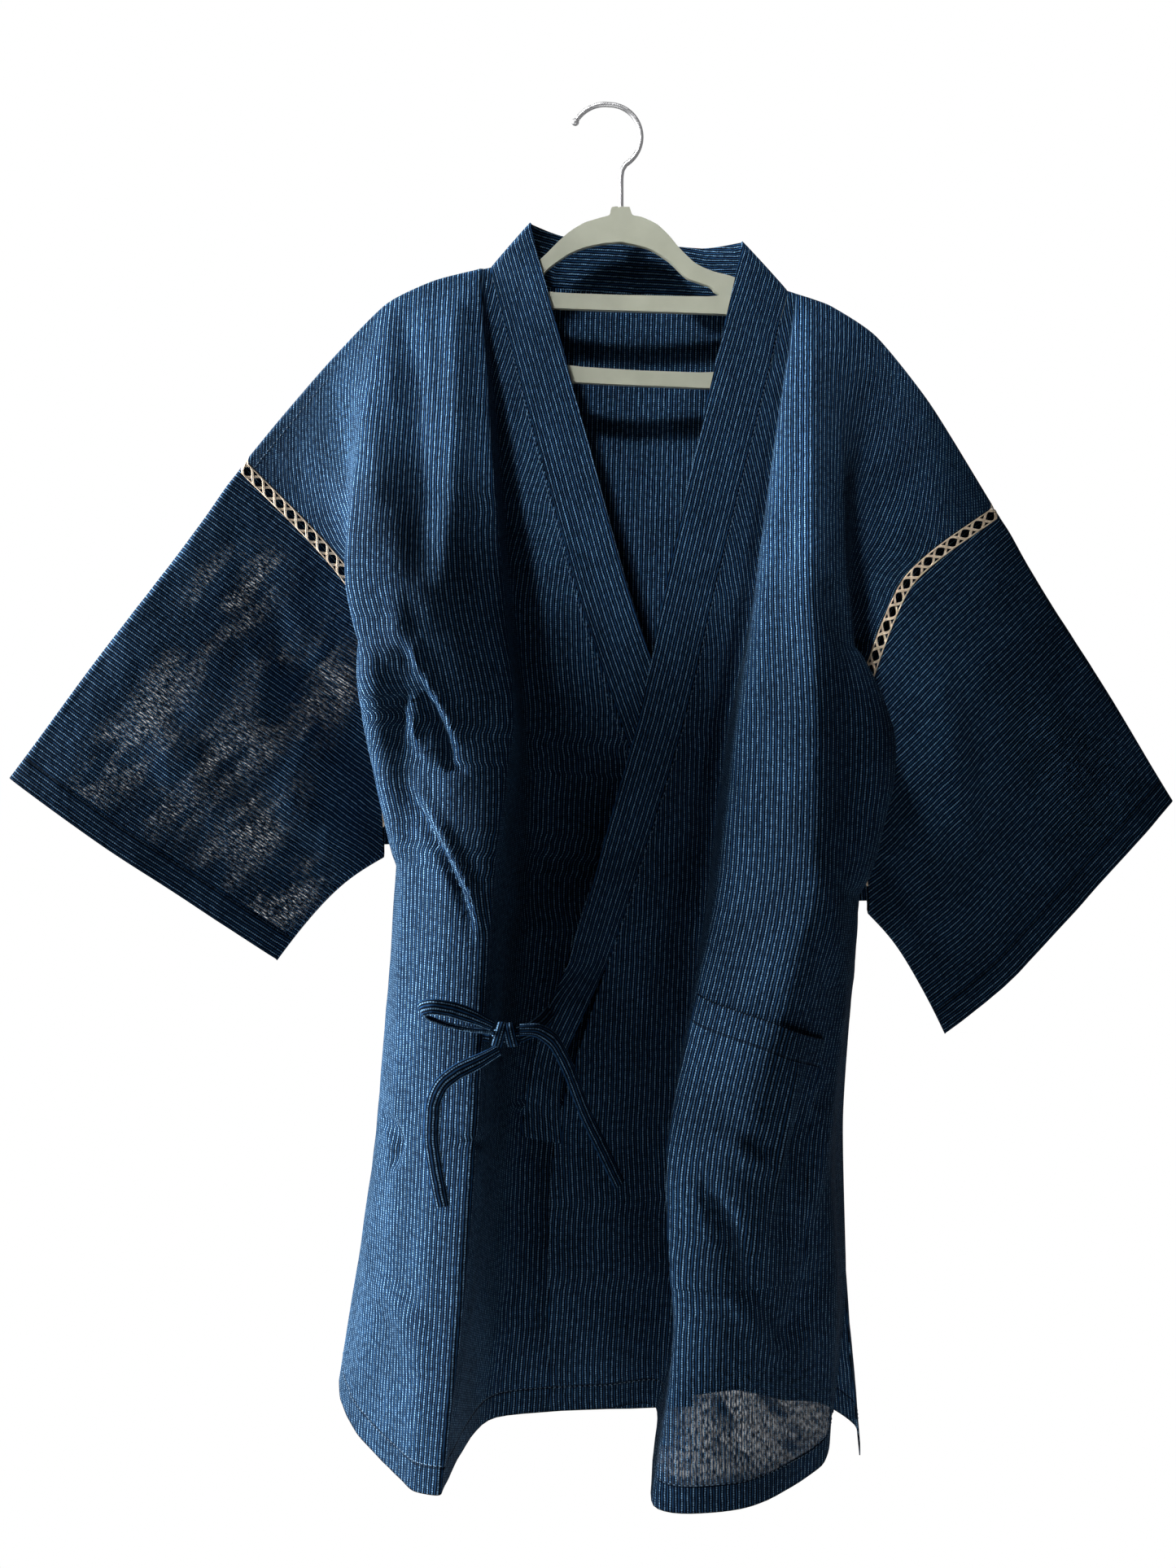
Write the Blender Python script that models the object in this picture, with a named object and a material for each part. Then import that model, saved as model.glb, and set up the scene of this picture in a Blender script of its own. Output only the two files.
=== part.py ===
"""A jinbei jacket hanging on a moulded hanger.

Metres, +Z up, the front faces -Y. The origin is the inner top of the hanger's hook.
The tables hold millimetres. Each panel of cloth is a sheet through its own folds,
turned into a wall of even thickness, and every seam keeps a small gap.
"""
import math
from collections import namedtuple

import bmesh
import bpy
import numpy as np

MM = 0.001

# Cloth walls and seams
PANEL_WALL = 1.2
COLLAR_WALL = 1.8
POCKET_WALL = 1.2
BRAID_WALL = 1.4
SEAM_GAP = 0.3
TOP_GAP = 0.32            # half of the gap along the shoulder line
SHOULDER_ROLL = 5.0       # height of the cloth's turn over the hanger's arms

# Sampling of the sheets
STEPS_ACROSS = 3
BACK_STEPS_ACROSS = 2
STEPS_DOWN = 3
ROLL_ANGLES = (0.0, 30.0, 60.0)
SPLINE_PULL = 0.36        # 0.5 is a plain Catmull-Rom curve, less is tauter

# Heights at which a fold's place is given: z = height + slope * x
Level = namedtuple("Level", "name height slope")
LEVELS = (
    Level("chest", -330, 0.0),
    Level("bust", -430, -0.05),
    Level("underarm", -536, -0.125),
    Level("tie", -700, 0.0),
    Level("hip", -820, 0.0),
)
UNDERARM_STATION = 3
HIP_STATION = 5

# A row for each fold line, from the centre to the side. x and y at each level;
# the shoulder and the hem also have their height.
Fold = namedtuple("Fold", "name shoulder chest bust underarm tie hip hem")
FRONT_RIGHT = (
    Fold("edge", (-81, -6, -112), (-24, -12), (9, -10), (45, -6), (58, -4), (58, -4), (58, -6, -900)),
    Fold("valley", (-86, -6, -113), (-66, -6), (-55, -4), (-52, -1), (-61, -3),
         (-68, -3), (-78, -5, -908)),
    Fold("near_right", (-92, -8, -114), (-74, -72), (-65, -86), (-76, -98), (-86, -108),
         (-96, -110), (-107, -113, -911)),
    Fold("near_mid", (-122, -9, -122), (-122, -88), (-105, -100), (-105, -106), (-112, -118),
         (-118, -120), (-124, -122, -912)),
    Fold("near_left", (-154, -9, -138), (-171, -68), (-147, -78), (-135, -82), (-139, -92),
         (-139, -98), (-139, -104, -908)),
    Fold("side_turn", (-190, -7, -174), (-168, -38), (-147, -40), (-142, -42), (-152, -58),
         (-163, -56), (-165, -62, -898)),
    Fold("outer", (-225, -6, -214), (-167, -21), (-148, -23), (-144, -22), (-157, -30),
         (-173, -30), (-180, -36, -886)),
    Fold("side", (-249, -5, -243), (-173, -9), (-155, -12), (-146, -8), (-156, -5),
         (-176, -9), (-184, -20, -877)),
)
FRONT_LEFT = (
    Fold("edge", (123, -6, -128), (73, -31), (49, -35), (16, -38), (-35, -36),
         (-41, -32), (-40, -28, -895)),
    Fold("flat", (126, -6, -129), (89, -25), (66, -26), (42, -28), (5, -27), (4, -27), (-4, -26, -894)),
    Fold("valley", (129, -6, -130), (102, -19), (81, -20), (67, -21), (47, -21),
         (50, -22), (32, -24, -894)),
    Fold("near_left", (131, -8, -131), (104, -68), (85, -84), (69, -94), (37, -110),
         (40, -114), (27, -115, -921)),
    Fold("near_mid", (140, -9, -134), (129, -90), (124, -100), (110, -107), (87, -121),
         (84, -121), (84, -118, -921)),
    Fold("near_right", (155, -9, -140), (155, -64), (171, -70), (158, -76), (139, -84),
         (142, -80), (137, -78, -911)),
    Fold("side_turn", (185, -7, -160), (163, -24), (162, -26), (167, -34), (151, -44),
         (153, -44), (147, -46, -893)),
    Fold("outer", (222, -6, -206), (177, -11), (158, -14), (170, -15), (157, -22),
         (158, -24), (150, -38, -892)),
    Fold("side", (264, -5, -274), (201, -9), (163, -12), (171, -3), (162, -2),
         (163, -8), (151, -32, -893)),
)
BACK = (
    Fold("side_right", (-249, 5, -243), (-173, 9), (-155, 10), (-146, -2), (-156, -5),
         (-176, -9), (-177, -7, -884)),
    Fold("outer_right", (-225, 6, -214), (-163, 20), (-140, 24), (-134, 21), (-150, 22),
         (-172, 20), (-174, 14, -887)),
    Fold("blade_right", (-172, 8, -155), (-140, 34), (-125, 34), (-118, 36), (-120, 38),
         (-130, 36), (-135, 32, -898)),
    Fold("inner_right", (-122, 8, -122), (-104, 24), (-85, 22), (-80, 20), (-84, 18),
         (-88, 20), (-92, 22, -902)),
    Fold("neck_right", (-81, 8, -112), (-62, 32), (-50, 35), (-45, 36), (-48, 38),
         (-50, 38), (-52, 38, -903)),
    Fold("neck_mid_right", (-40, 22, -118), (-30, 27), (-20, 25), (-15, 24), (-14, 24),
         (-14, 26), (-14, 28, -903)),
    Fold("centre", (21, 26, -121), (15, 30), (15, 32), (18, 36), (20, 38), (20, 38), (20, 36, -904)),
    Fold("neck_mid_left", (82, 22, -125), (58, 26), (52, 24), (52, 22), (54, 22),
         (56, 24), (58, 26, -904)),
    Fold("neck_left", (123, 8, -128), (96, 32), (85, 35), (86, 36), (88, 38), (90, 38), (92, 36, -904)),
    Fold("inner_left", (155, 8, -140), (130, 22), (118, 20), (118, 20), (118, 20),
         (120, 22), (124, 22, -906)),
    Fold("blade_left", (190, 8, -165), (160, 30), (145, 30), (145, 32), (142, 32),
         (145, 30), (150, 22, -908)),
    Fold("outer_left", (222, 6, -206), (186, 19), (151, 20), (158, 18), (156, 14),
         (165, 8), (172, 0, -916)),
    Fold("side_left", (264, 5, -274), (201, 9), (163, 10), (171, 3), (162, -2),
         (163, -8), (171, -20, -928)),
)
NECK_FOLDS = (4, 8)       # the back's rows between which the collar is sewn on

# The collar's free edge beside each level of the front's edge
CollarEdge = namedtuple("CollarEdge", "name neck chest bust underarm tie")
COLLAR_RIGHT = CollarEdge("collar_right", (-54, -6, -81), (8, -22, -319), (41, -14, -419),
                          (79, -8, -532), (96, -6, -694))
COLLAR_LEFT = CollarEdge("collar_left", (92, -6, -94), (40, -41, -326), (20, -42, -424),
                         (-11, -52, -532), (-62, -66, -700))
COLLAR_END_ROWS = 3       # rows of the front past the underarm that the under collar reaches
TAB_END_ROWS = 2          # and that the over collar is sewn to, before its loose tab
COLLAR_TOP_GAP = 0.6
COLLAR_EASE = 0.25        # more room at the collar's seam, where the panel turns
COLLAR_SHARES = (0.0, 0.34, 0.67, 1.0)
COLLAR_CROWN = 1.0        # the folded band is this much fuller in its middle
TAB_EDGES = ((-17, -55, -622), (-29, -61, -648), (-33, -65, -676), (-31, -68, -705))
TAB_FREE_EDGES = ((-39, -63, -614), (-47, -68, -640), (-54, -71, -669), (-58, -74, -700))
BACK_COLLAR_TOP = ((-54, 0.6, -81), (-30, 19, -84), (20, 22, -87), (66, 19, -92), (92, 0.6, -94))

# Sleeves: the cuff from its top corner to its lower corner
Sleeve = namedtuple("Sleeve", "name cuff")
SLEEVE_RIGHT = Sleeve("sleeve_right", ((-407, -25, -466), (-342, -25, -512), (-295, -22, -543),
                                       (-224, -20, -591)))
SLEEVE_LEFT = Sleeve("sleeve_left", ((400, 25, -482), (342, 20, -543), (279, 14, -609), (233, 10, -646)))
CUFF_HALF_DEPTH = 8.0
CUFF_ROUNDNESS = 0.4
CUFF_REACH = 0.985        # each wall's share of the cuff, so that its lower fold stays round
SLEEVE_STATIONS = 6
SLEEVE_WAVE = 3.0
SLEEVE_WAVES_ALONG = 1.1
SLEEVE_WAVES_ROUND = 0.55
ARMHOLE_DROP = 2.5        # the tube's lower fold hangs this far below its two walls
CUFF_DROP = 1.0
UNDERARM_LIFT = 9.0
BRAID_WIDTH = 12.0
BRAID_PITCH = 12.0
BRAID_EASE = 0.3          # more room at the body's seam, where it turns under the roll
BRAID_HOLE_ACROSS = 0.30
BRAID_HOLE_ALONG = 0.33
SHORTEST_LACE_CELL = 7.0

# Pocket: grid places on the left front, counted in folds and stations
POCKET_FOLDS = (3, 4.667)
POCKET_STATIONS = (3.333, 4.667)
POCKET_BELLY = 3.0
POCKET_FALL = 0.7         # how soon its fullness goes below the mouth

# Ties
TIE_WIDTH = 10.0
TIE_THICKNESS = 2.4
TIE_SIDES = 8
TIE_STEP = 6.0
TIE_FACING = (0.0, -1.0, 0.15)
KNOT_CENTRE = (-66, -114, -627)
KNOT_SIZE = (19, 12, 17)
TieRun = namedtuple("TieRun", "name points")
TIES = (
    TieRun("tie_stub", ((-58.2, -110.3, -627.7), (-50, -98, -626), (-43.5, -82, -623), (-39.4, -65.8, -620))),
    TieRun("tie_anchor", ((-84.9, -109, -626), (-80, -112, -626), (-75.6, -113.1, -626.5))),
    TieRun("bow_loop", ((-74, -121, -620), (-85, -126.5, -614), (-98, -130, -609), (-110, -131, -607),
                        (-117, -128, -609), (-115, -124.5, -614), (-103, -122.5, -619), (-90, -121.5, -622),
                        (-75, -118, -624.4))),
    TieRun("tie_left_tail", ((-70.4, -117.3, -636), (-82, -122, -642), (-95, -125, -648),
                             (-105, -126.5, -656), (-110, -126.5, -668), (-111, -127, -690),
                             (-108, -127.5, -711), (-104, -128, -731))),
    TieRun("tie_right_tail", ((-57.1, -116.7, -623.4), (-46, -115.5, -624), (-36, -107, -632),
                              (-27, -97, -651), (-16, -85, -682), (-5, -79, -706), (6, -75, -730))),
)

# Hook: a wire bent round the origin's rod, then a straight stem
WIRE_RADIUS = 1.75
HOOK_CENTRE = (0.0, -20.7)
HOOK_RADIUS = 22.4
HOOK_OPENING = 3.0        # the tip's end of the bend is this much wider
HOOK_TIP_ANGLE = 156.0
HOOK_NECK_ANGLE = -58.0
HOOK_STEPS = 22
HOOK_TIP_RADIUS = 2.6
HOOK_STEM = ((9.3, -44.0), (8.5, -50.0), (8.5, -60.0))
BOSS_TOP = -70.0

# Hanger: one moulded plate with two windows. The arms' top edges follow the shoulders.
HANGER_THICKNESS = 4.4
HANGER_ROUNDING = 1.4
ARM_CLEARANCE = 1.4      # below the cloth's middle along the shoulder line
ARM_RIGHT = (-162, -80)   # where the arm's top edge follows the shoulder line
ARM_LEFT = (122, 186)
NECK_OUTLINE_LEFT = ((14.5, -70), (16.5, -76), (30, -84), (44, -96), (57, -108), (70, -117),
                     (90, -125), (110, -130.5))
NECK_OUTLINE_RIGHT = ((2.5, -70), (0.5, -76), (-12, -83), (-26, -94), (-38, -104), (-50, -111), (-66, -115.5))
UNDER_OUTLINE = ((188, -178), (176, -176), (150, -159), (124, -149), (103, -145), (100, -152),
                 (98, -186), (92, -196), (-48, -190), (-55, -184), (-58, -150), (-61, -136),
                 (-82, -131), (-112, -137), (-140, -150), (-158, -158), (-166, -156))
ARCH_WINDOW = ((8.5, -94), (-8, -98), (-24, -108), (-38, -121), (-42, -129), (72, -133), (69, -128),
               (52, -116), (38, -104), (24, -97))
BAR_WINDOW = ((-44, -140), (-44, -152), (-42, -178), (88, -184), (90, -156), (88, -146), (74, -144))

# Finishes
Finish = namedtuple("Finish", "colour roughness metallic")
NAVY_COTTON = Finish((0.022, 0.055, 0.130), 0.85, 0.0)
CREAM_LACE = Finish((0.62, 0.52, 0.38), 0.8, 0.0)
SAGE_PLASTIC = Finish((0.42, 0.43, 0.32), 0.45, 0.0)
STEEL_WIRE = Finish((0.75, 0.75, 0.77), 0.2, 1.0)
SHARP_ANGLE = 50.0


def spline(points, steps):
    """A taut smooth curve through points along axis 0, with this many steps to each span."""
    points = np.asarray(points, dtype=float)
    last = len(points) - 1
    result = []
    for i in range(last):
        before, start, end, after = (points[min(max(i + k, 0), last)] for k in (-1, 0, 1, 2))
        leave = SPLINE_PULL * (end - before)
        arrive = SPLINE_PULL * (after - start)
        for k in range(steps):
            t = k / steps
            result.append((2 * t ** 3 - 3 * t ** 2 + 1) * start + (t ** 3 - 2 * t ** 2 + t) * leave
                          + (3 * t ** 2 - 2 * t ** 3) * end + (t ** 3 - t ** 2) * arrive)
    result.append(points[-1])
    return np.array(result)


def unit(vectors):
    length = np.linalg.norm(vectors, axis=-1, keepdims=True)
    return vectors / np.maximum(length, 1e-9)


def fold_stations(fold):
    """A fold's places from just under the shoulder's roll to the hem."""
    x, y, z = fold.shoulder
    places = [(x, y, z - SHOULDER_ROLL)]
    for level in LEVELS:
        x, y = getattr(fold, level.name)
        places.append((x, y, level.height + level.slope * x))
    places.append(fold.hem)
    return places


def hang(folds, steps_across, tops):
    """The grid of a hanging panel: axis 0 across the folds, axis 1 down the cloth."""
    table = np.array([fold_stations(fold) for fold in folds], dtype=float)
    across = spline(table, steps_across)
    fall = spline(across.transpose(1, 0, 2), STEPS_DOWN).transpose(1, 0, 2)
    places = np.arange(len(across)) / steps_across
    top_y = np.interp(places, np.arange(len(tops)), tops)
    roll = []
    for angle in ROLL_ANGLES:
        turn = math.radians(angle)
        row = fall[:, 0].copy()
        row[:, 1] = top_y + (fall[:, 0, 1] - top_y) * math.sin(turn)
        row[:, 2] += SHOULDER_ROLL * math.cos(turn)
        roll.append(row)
    return np.concatenate([np.stack(roll, axis=1), fall], axis=1)


def row_of_station(station):
    return len(ROLL_ANGLES) + int(round(station * STEPS_DOWN))


def normals(grid, ring=False):
    """Unit normals of a grid of points, which may close on itself along axis 0."""
    if ring:
        across = np.roll(grid, -1, axis=0) - np.roll(grid, 1, axis=0)
    else:
        across = np.gradient(grid, axis=0)
    along = np.gradient(grid, axis=1)
    return unit(np.cross(across, along))


def level(normal):
    """Takes the front-to-back lean out of normals, for rims that meet along the shoulders."""
    return unit(normal * np.array([1.0, 0.0, 1.0]))


def mesh_object(name, vertices, faces, finish):
    mesh = bpy.data.meshes.new(name)
    work = bmesh.new()
    points = [work.verts.new([c * MM for c in v]) for v in vertices]
    for face in faces:
        work.faces.new([points[i] for i in face])
    bmesh.ops.recalc_face_normals(work, faces=work.faces)
    bmesh.ops.triangulate(work, faces=work.faces)
    if work.calc_volume(signed=True) < 0:
        bmesh.ops.reverse_faces(work, faces=work.faces)
    work.to_mesh(mesh)
    work.free()
    return finish_object(bpy.data.objects.new(name, mesh), finish)


def finish_object(thing, finish):
    bpy.context.scene.collection.objects.link(thing)
    material = bpy.data.materials.new(thing.name)
    material.use_nodes = True
    shader = material.node_tree.nodes["Principled BSDF"]
    shader.inputs["Base Color"].default_value = (*finish.colour, 1.0)
    shader.inputs["Roughness"].default_value = finish.roughness
    shader.inputs["Metallic"].default_value = finish.metallic
    thing.data.materials.append(material)
    if thing.type == "MESH":
        thing.data.shade_smooth()
        thing.data.set_sharp_from_angle(angle=math.radians(SHARP_ANGLE))
    return thing


def cloth_wall(name, grid, wall, ring=False, level_rows=()):
    """A sheet's grid as a closed wall of even thickness."""
    across, down = grid.shape[:2]
    out = normals(grid, ring)
    for row in level_rows:
        out[:, row] = level(out[:, row])
    offset = out * wall / 2
    vertices = np.concatenate([(grid + offset).reshape(-1, 3), (grid - offset).reshape(-1, 3)])
    under = across * down
    faces = []
    spans = across if ring else across - 1
    for i in range(spans):
        j = (i + 1) % across
        for k in range(down - 1):
            quad = (i * down + k, j * down + k, j * down + k + 1, i * down + k + 1)
            faces.append(quad)
            faces.append(tuple(under + q for q in reversed(quad)))
        for k in (0, down - 1):
            faces.append((i * down + k, j * down + k, under + j * down + k, under + i * down + k))
    if not ring:
        for i in (0, across - 1):
            for k in range(down - 1):
                a = i * down + k
                faces.append((a, a + 1, under + a + 1, under + a))
    return mesh_object(name, vertices.tolist(), faces, NAVY_COTTON)


def start_gap(panel_normal, direction, wall):
    """How far along direction the next piece starts, so that the seam keeps its gap."""
    lean = np.abs(np.sum(panel_normal * direction, axis=-1, keepdims=True))
    return SEAM_GAP + wall / 2 * lean


def match_shoulders(back, front_right, front_left):
    """Brings the back's top edge to the fronts' shoulder lines, fading out at the chest."""
    chest = row_of_station(1)
    for front, columns in ((front_right, slice(0, NECK_FOLDS[0] * BACK_STEPS_ACROSS + 1)),
                           (front_left, slice(NECK_FOLDS[1] * BACK_STEPS_ACROSS, None))):
        line = front[np.argsort(front[:, 0, 0]), 0]
        shift = np.interp(back[columns, 0, 0], line[:, 0], line[:, 2]) - back[columns, 0, 2]
        for row in range(chest):
            back[columns, row, 2] += shift * (1 - row / chest)


def join_sides(front, back_column):
    """Gives a front and the back one side seam from the underarm to the hip."""
    underarm = row_of_station(UNDERARM_STATION)
    hip = row_of_station(HIP_STATION)
    side = front[-1]
    back_column[:hip + 1, 0] = side[:hip + 1, 0]
    back_column[:hip + 1, 2] = side[:hip + 1, 2]
    seam_y = (side[underarm + 1:hip + 1, 1] + back_column[underarm + 1:hip + 1, 1]) / 2
    side[underarm + 1:hip + 1, 1] = seam_y
    back_column[underarm + 1:hip + 1, 1] = seam_y


def open_side_seam(front, back, edge, inner):
    """Pulls the two panels apart by the seam's gap, each along its own cloth."""
    rows = slice(row_of_station(UNDERARM_STATION) + 1, None)
    front_inward = unit(front[-2] - front[-1])[rows]
    back_inward = unit(back[inner] - back[edge])[rows]
    across = unit(back_inward - front_inward)
    front_reach = start_gap(normals(front)[-1][rows], across, PANEL_WALL) - SEAM_GAP / 2
    back_reach = start_gap(normals(back)[edge][rows], across, PANEL_WALL) - SEAM_GAP / 2
    front[-1, rows] -= across * front_reach
    back[edge, rows] += across * back_reach


def armhole_rows():
    return row_of_station(UNDERARM_STATION) + 1


def cuff_half(sleeve, shares, side):
    """The cuff's points on one side, front (-1) or back (+1), at shares of its length."""
    curve = spline(sleeve.cuff, 8)
    steps = np.concatenate([[0.0], np.cumsum(np.linalg.norm(np.diff(curve, axis=0), axis=1))])
    places = np.array([[np.interp(s * steps[-1], steps, curve[:, k]) for k in range(3)] for s in shares])
    places[:, 1] += side * CUFF_HALF_DEPTH * np.sin(math.pi * shares) ** CUFF_ROUNDNESS
    return places


def arc_shares(points):
    steps = np.concatenate([[0.0], np.cumsum(np.linalg.norm(np.diff(points, axis=0), axis=1))])
    return steps / steps[-1]


def sleeve_half(sleeve, column, column_normals, side):
    """Armhole, braid and cuff points of one half of a sleeve."""
    column = column[:armhole_rows()]
    cuff = cuff_half(sleeve, arc_shares(column) * CUFF_REACH, side)
    seam = unit(np.gradient(column, axis=0))
    outward = unit(cuff - column)
    rows = np.arange(len(column)) - len(ROLL_ANGLES)
    square_share = np.clip(rows / rows[-1], 0, 1)[:, None]
    outward = unit(outward - square_share * seam * np.sum(outward * seam, axis=1, keepdims=True))
    gap = start_gap(column_normals[:armhole_rows()], outward, PANEL_WALL) + BRAID_EASE
    start = column + outward * gap
    end = start + outward * BRAID_WIDTH
    return start, end, end + outward * SEAM_GAP, cuff


def braid(name, inner, outer, wall):
    """A lace insertion: a strip of cells, each with a diamond cut through it."""
    near = [inner[0]]
    far = [outer[0]]
    cut = []
    for i in range(len(inner) - 1):
        length = np.linalg.norm((inner[i + 1] + outer[i + 1] - inner[i] - outer[i]) / 2)
        cells = max(1, int(round(length / BRAID_PITCH)))
        for k in range(1, cells + 1):
            near.append(inner[i] + (inner[i + 1] - inner[i]) * k / cells)
            far.append(outer[i] + (outer[i + 1] - outer[i]) * k / cells)
            cut.append(length / cells > SHORTEST_LACE_CELL)
    near = np.array(near)
    far = np.array(far)
    out = normals(np.stack([near, far]))
    near_normal, far_normal = out[0], out[1]
    vertices = []
    faces = []

    def add(point, normal):
        vertices.append((point + normal * wall / 2).tolist())
        vertices.append((point - normal * wall / 2).tolist())
        return len(vertices) - 2

    def both_sides(*corners):
        faces.append(tuple(corners))
        faces.append(tuple(c + 1 for c in reversed(corners)))

    def edge_wall(a, b):
        faces.append((a, b, b + 1, a + 1))

    last = len(near) - 1
    rungs = [(add(near[i], near_normal[i]), add(far[i], far_normal[i])) for i in range(last + 1)]
    for i, has_hole in enumerate(cut):
        a, b = rungs[i]
        d, c = rungs[i + 1]
        edge_wall(a, d)
        edge_wall(b, c)
        if not has_hole:
            both_sides(a, b, c, d)
            continue
        centre = (near[i] + far[i] + near[i + 1] + far[i + 1]) / 4
        across = (far[i] + far[i + 1] - near[i] - near[i + 1]) / 2 * BRAID_HOLE_ACROSS
        along = (near[i + 1] + far[i + 1] - near[i] - far[i]) / 2 * BRAID_HOLE_ALONG
        normal = unit(near_normal[i] + far_normal[i + 1])
        holes = [add(centre + shift, normal) for shift in (-along, across, along, -across)]
        corners = (a, b, c, d)
        for k in range(4):
            both_sides(corners[k], corners[(k + 1) % 4], holes[k])
            both_sides(corners[(k + 1) % 4], holes[(k + 1) % 4], holes[k])
            edge_wall(holes[k], holes[(k + 1) % 4])
    edge_wall(*rungs[0])
    edge_wall(*rungs[last])
    return mesh_object(name, vertices, faces, CREAM_LACE)


def sleeve_tube(name, front_start, front_cuff, back_start, back_cuff):
    """A sleeve as a flattened tube from its braid to its cuff."""
    def closed_ring(front, back, drop):
        top = (front[0] + back[0]) / 2
        low = (front[-1] + back[-1]) / 2 + np.array([0.0, 0.0, -drop])
        return np.concatenate([[top], front[1:], [low], back[1:][::-1]])

    armhole = closed_ring(front_start, back_start, ARMHOLE_DROP)
    cuff = closed_ring(front_cuff, back_cuff, CUFF_DROP)
    half = len(front_start)
    shares = np.concatenate([np.linspace(0, 1, half), [1.0], np.linspace(1, 0, half)[:-1]])
    stations = []
    for k in range(SLEEVE_STATIONS + 1):
        s = k / SLEEVE_STATIONS
        ring = armhole * (1 - s) + cuff * s
        wave = np.sin(2 * math.pi * (SLEEVE_WAVES_ALONG * s + SLEEVE_WAVES_ROUND * shares))
        ring[:, 1] += SLEEVE_WAVE * math.sin(math.pi * s) * wave
        ring[:, 2] += UNDERARM_LIFT * math.sin(math.pi * s) * shares ** 3
        stations.append(ring)
    return cloth_wall(name, np.stack(stations, axis=1), PANEL_WALL, ring=True)


def collar_free_edge(edge, rows):
    """The free edge's points: a roll over the shoulder, then down the front."""
    x, y, z = edge.neck
    under_roll = (x, y, z - SHOULDER_ROLL)
    stations = spline([under_roll, edge.chest, edge.bust, edge.underarm, edge.tie], STEPS_DOWN)
    roll = []
    for angle in ROLL_ANGLES:
        turn = math.radians(angle)
        roll.append((x, -TOP_GAP + (y + TOP_GAP) * math.sin(turn), z - SHOULDER_ROLL * (1 - math.cos(turn))))
    return np.concatenate([roll, stations])[:rows]


def front_collar(edge, front, end_rows, tab=()):
    """The band from the front's edge to its own free edge, with a loose tab below if it has one."""
    rows = row_of_station(UNDERARM_STATION) + end_rows
    seam = front[0, :rows]
    free = collar_free_edge(edge, rows)
    direction = unit(free - seam)
    gap = start_gap(normals(front)[0, :rows], direction, PANEL_WALL) + COLLAR_EASE
    seam = seam + direction * gap
    seam[0, 1] = -COLLAR_TOP_GAP
    free[0, 1] = -COLLAR_TOP_GAP
    if tab:
        seam = np.concatenate([seam, tab[0]])
        free = np.concatenate([free, tab[1]])
    band = np.stack([seam * (1 - s) + free * s for s in COLLAR_SHARES])
    band[1:-1, 1:, 1] -= COLLAR_CROWN
    return cloth_wall(edge.name, band, COLLAR_WALL, level_rows=(0,))


def back_collar(back):
    """The standing band round the back of the neck."""
    first, last = (n * BACK_STEPS_ACROSS for n in NECK_FOLDS)
    seam = back[first:last + 1, 0]
    steps = (last - first) // (len(BACK_COLLAR_TOP) - 1)
    free = spline(BACK_COLLAR_TOP, steps)
    direction = unit(free - seam)
    gap = start_gap(normals(back)[first:last + 1, 0], direction, PANEL_WALL) + COLLAR_EASE
    seam = seam + direction * gap
    seam[[0, -1], 1] = COLLAR_TOP_GAP
    band = np.stack([seam * (1 - s) + free * s for s in COLLAR_SHARES])
    return cloth_wall("collar_back", band, COLLAR_WALL, level_rows=(0, -1))


def pocket(front):
    """A patch made from the left front's own points, moved out, fullest at its mouth."""
    first, last = (int(round(n * STEPS_ACROSS)) for n in POCKET_FOLDS)
    top, bottom = (row_of_station(n) for n in POCKET_STATIONS)
    patch = front[first:last + 1, top:bottom + 1].copy()
    out = normals(front)[first:last + 1, top:bottom + 1]
    if out[..., 1].mean() > 0:
        out = -out
    across = np.linspace(0, 1, patch.shape[0])[:, None]
    down = np.linspace(0, 1, patch.shape[1])[None, :]
    lift = PANEL_WALL / 2 + POCKET_WALL / 2 + SEAM_GAP
    belly = POCKET_BELLY * np.sin(math.pi * across) * (1 - down) ** POCKET_FALL
    patch += out * (lift + belly)[..., None]
    return cloth_wall("pocket", patch, POCKET_WALL)


def band(run):
    """A flat tie swept along its run, with rounded edges and closed ends."""
    path = spline(run.points, 4)
    steps = arc_shares(path)
    length = np.sum(np.linalg.norm(np.diff(path, axis=0), axis=1))
    shares = np.linspace(0, 1, max(3, int(length / TIE_STEP) + 1))
    path = np.array([[np.interp(s, steps, path[:, k]) for k in range(3)] for s in shares])
    forward = unit(np.gradient(path, axis=0))
    width = [unit(np.cross(forward[0], TIE_FACING))]
    for direction in forward[1:]:
        width.append(unit(width[-1] - direction * np.dot(width[-1], direction)))
    thick = unit(np.cross(width, forward))
    vertices = []
    for place, w, n in zip(path, width, thick):
        for k in range(TIE_SIDES):
            angle = 2 * math.pi * (k + 0.5) / TIE_SIDES
            sideways = w * math.cos(angle) * TIE_WIDTH / 2
            vertices.append(place + sideways + n * math.sin(angle) * TIE_THICKNESS / 2)
    faces = [tuple(range(TIE_SIDES)), tuple(range(len(vertices) - TIE_SIDES, len(vertices)))]
    for i in range(len(path) - 1):
        for k in range(TIE_SIDES):
            a = i * TIE_SIDES + k
            b = i * TIE_SIDES + (k + 1) % TIE_SIDES
            faces.append((a, b, b + TIE_SIDES, a + TIE_SIDES))
    return mesh_object(run.name, [v.tolist() for v in vertices], faces, NAVY_COTTON)


def knot():
    mesh = bpy.data.meshes.new("bow_knot")
    work = bmesh.new()
    bmesh.ops.create_icosphere(work, subdivisions=2, radius=0.5)
    for vertex in work.verts:
        vertex.co = [(c * size + centre) * MM
                     for c, size, centre in zip(vertex.co, KNOT_SIZE, KNOT_CENTRE)]
    work.to_mesh(mesh)
    work.free()
    return finish_object(bpy.data.objects.new("bow_knot", mesh), NAVY_COTTON)


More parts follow.
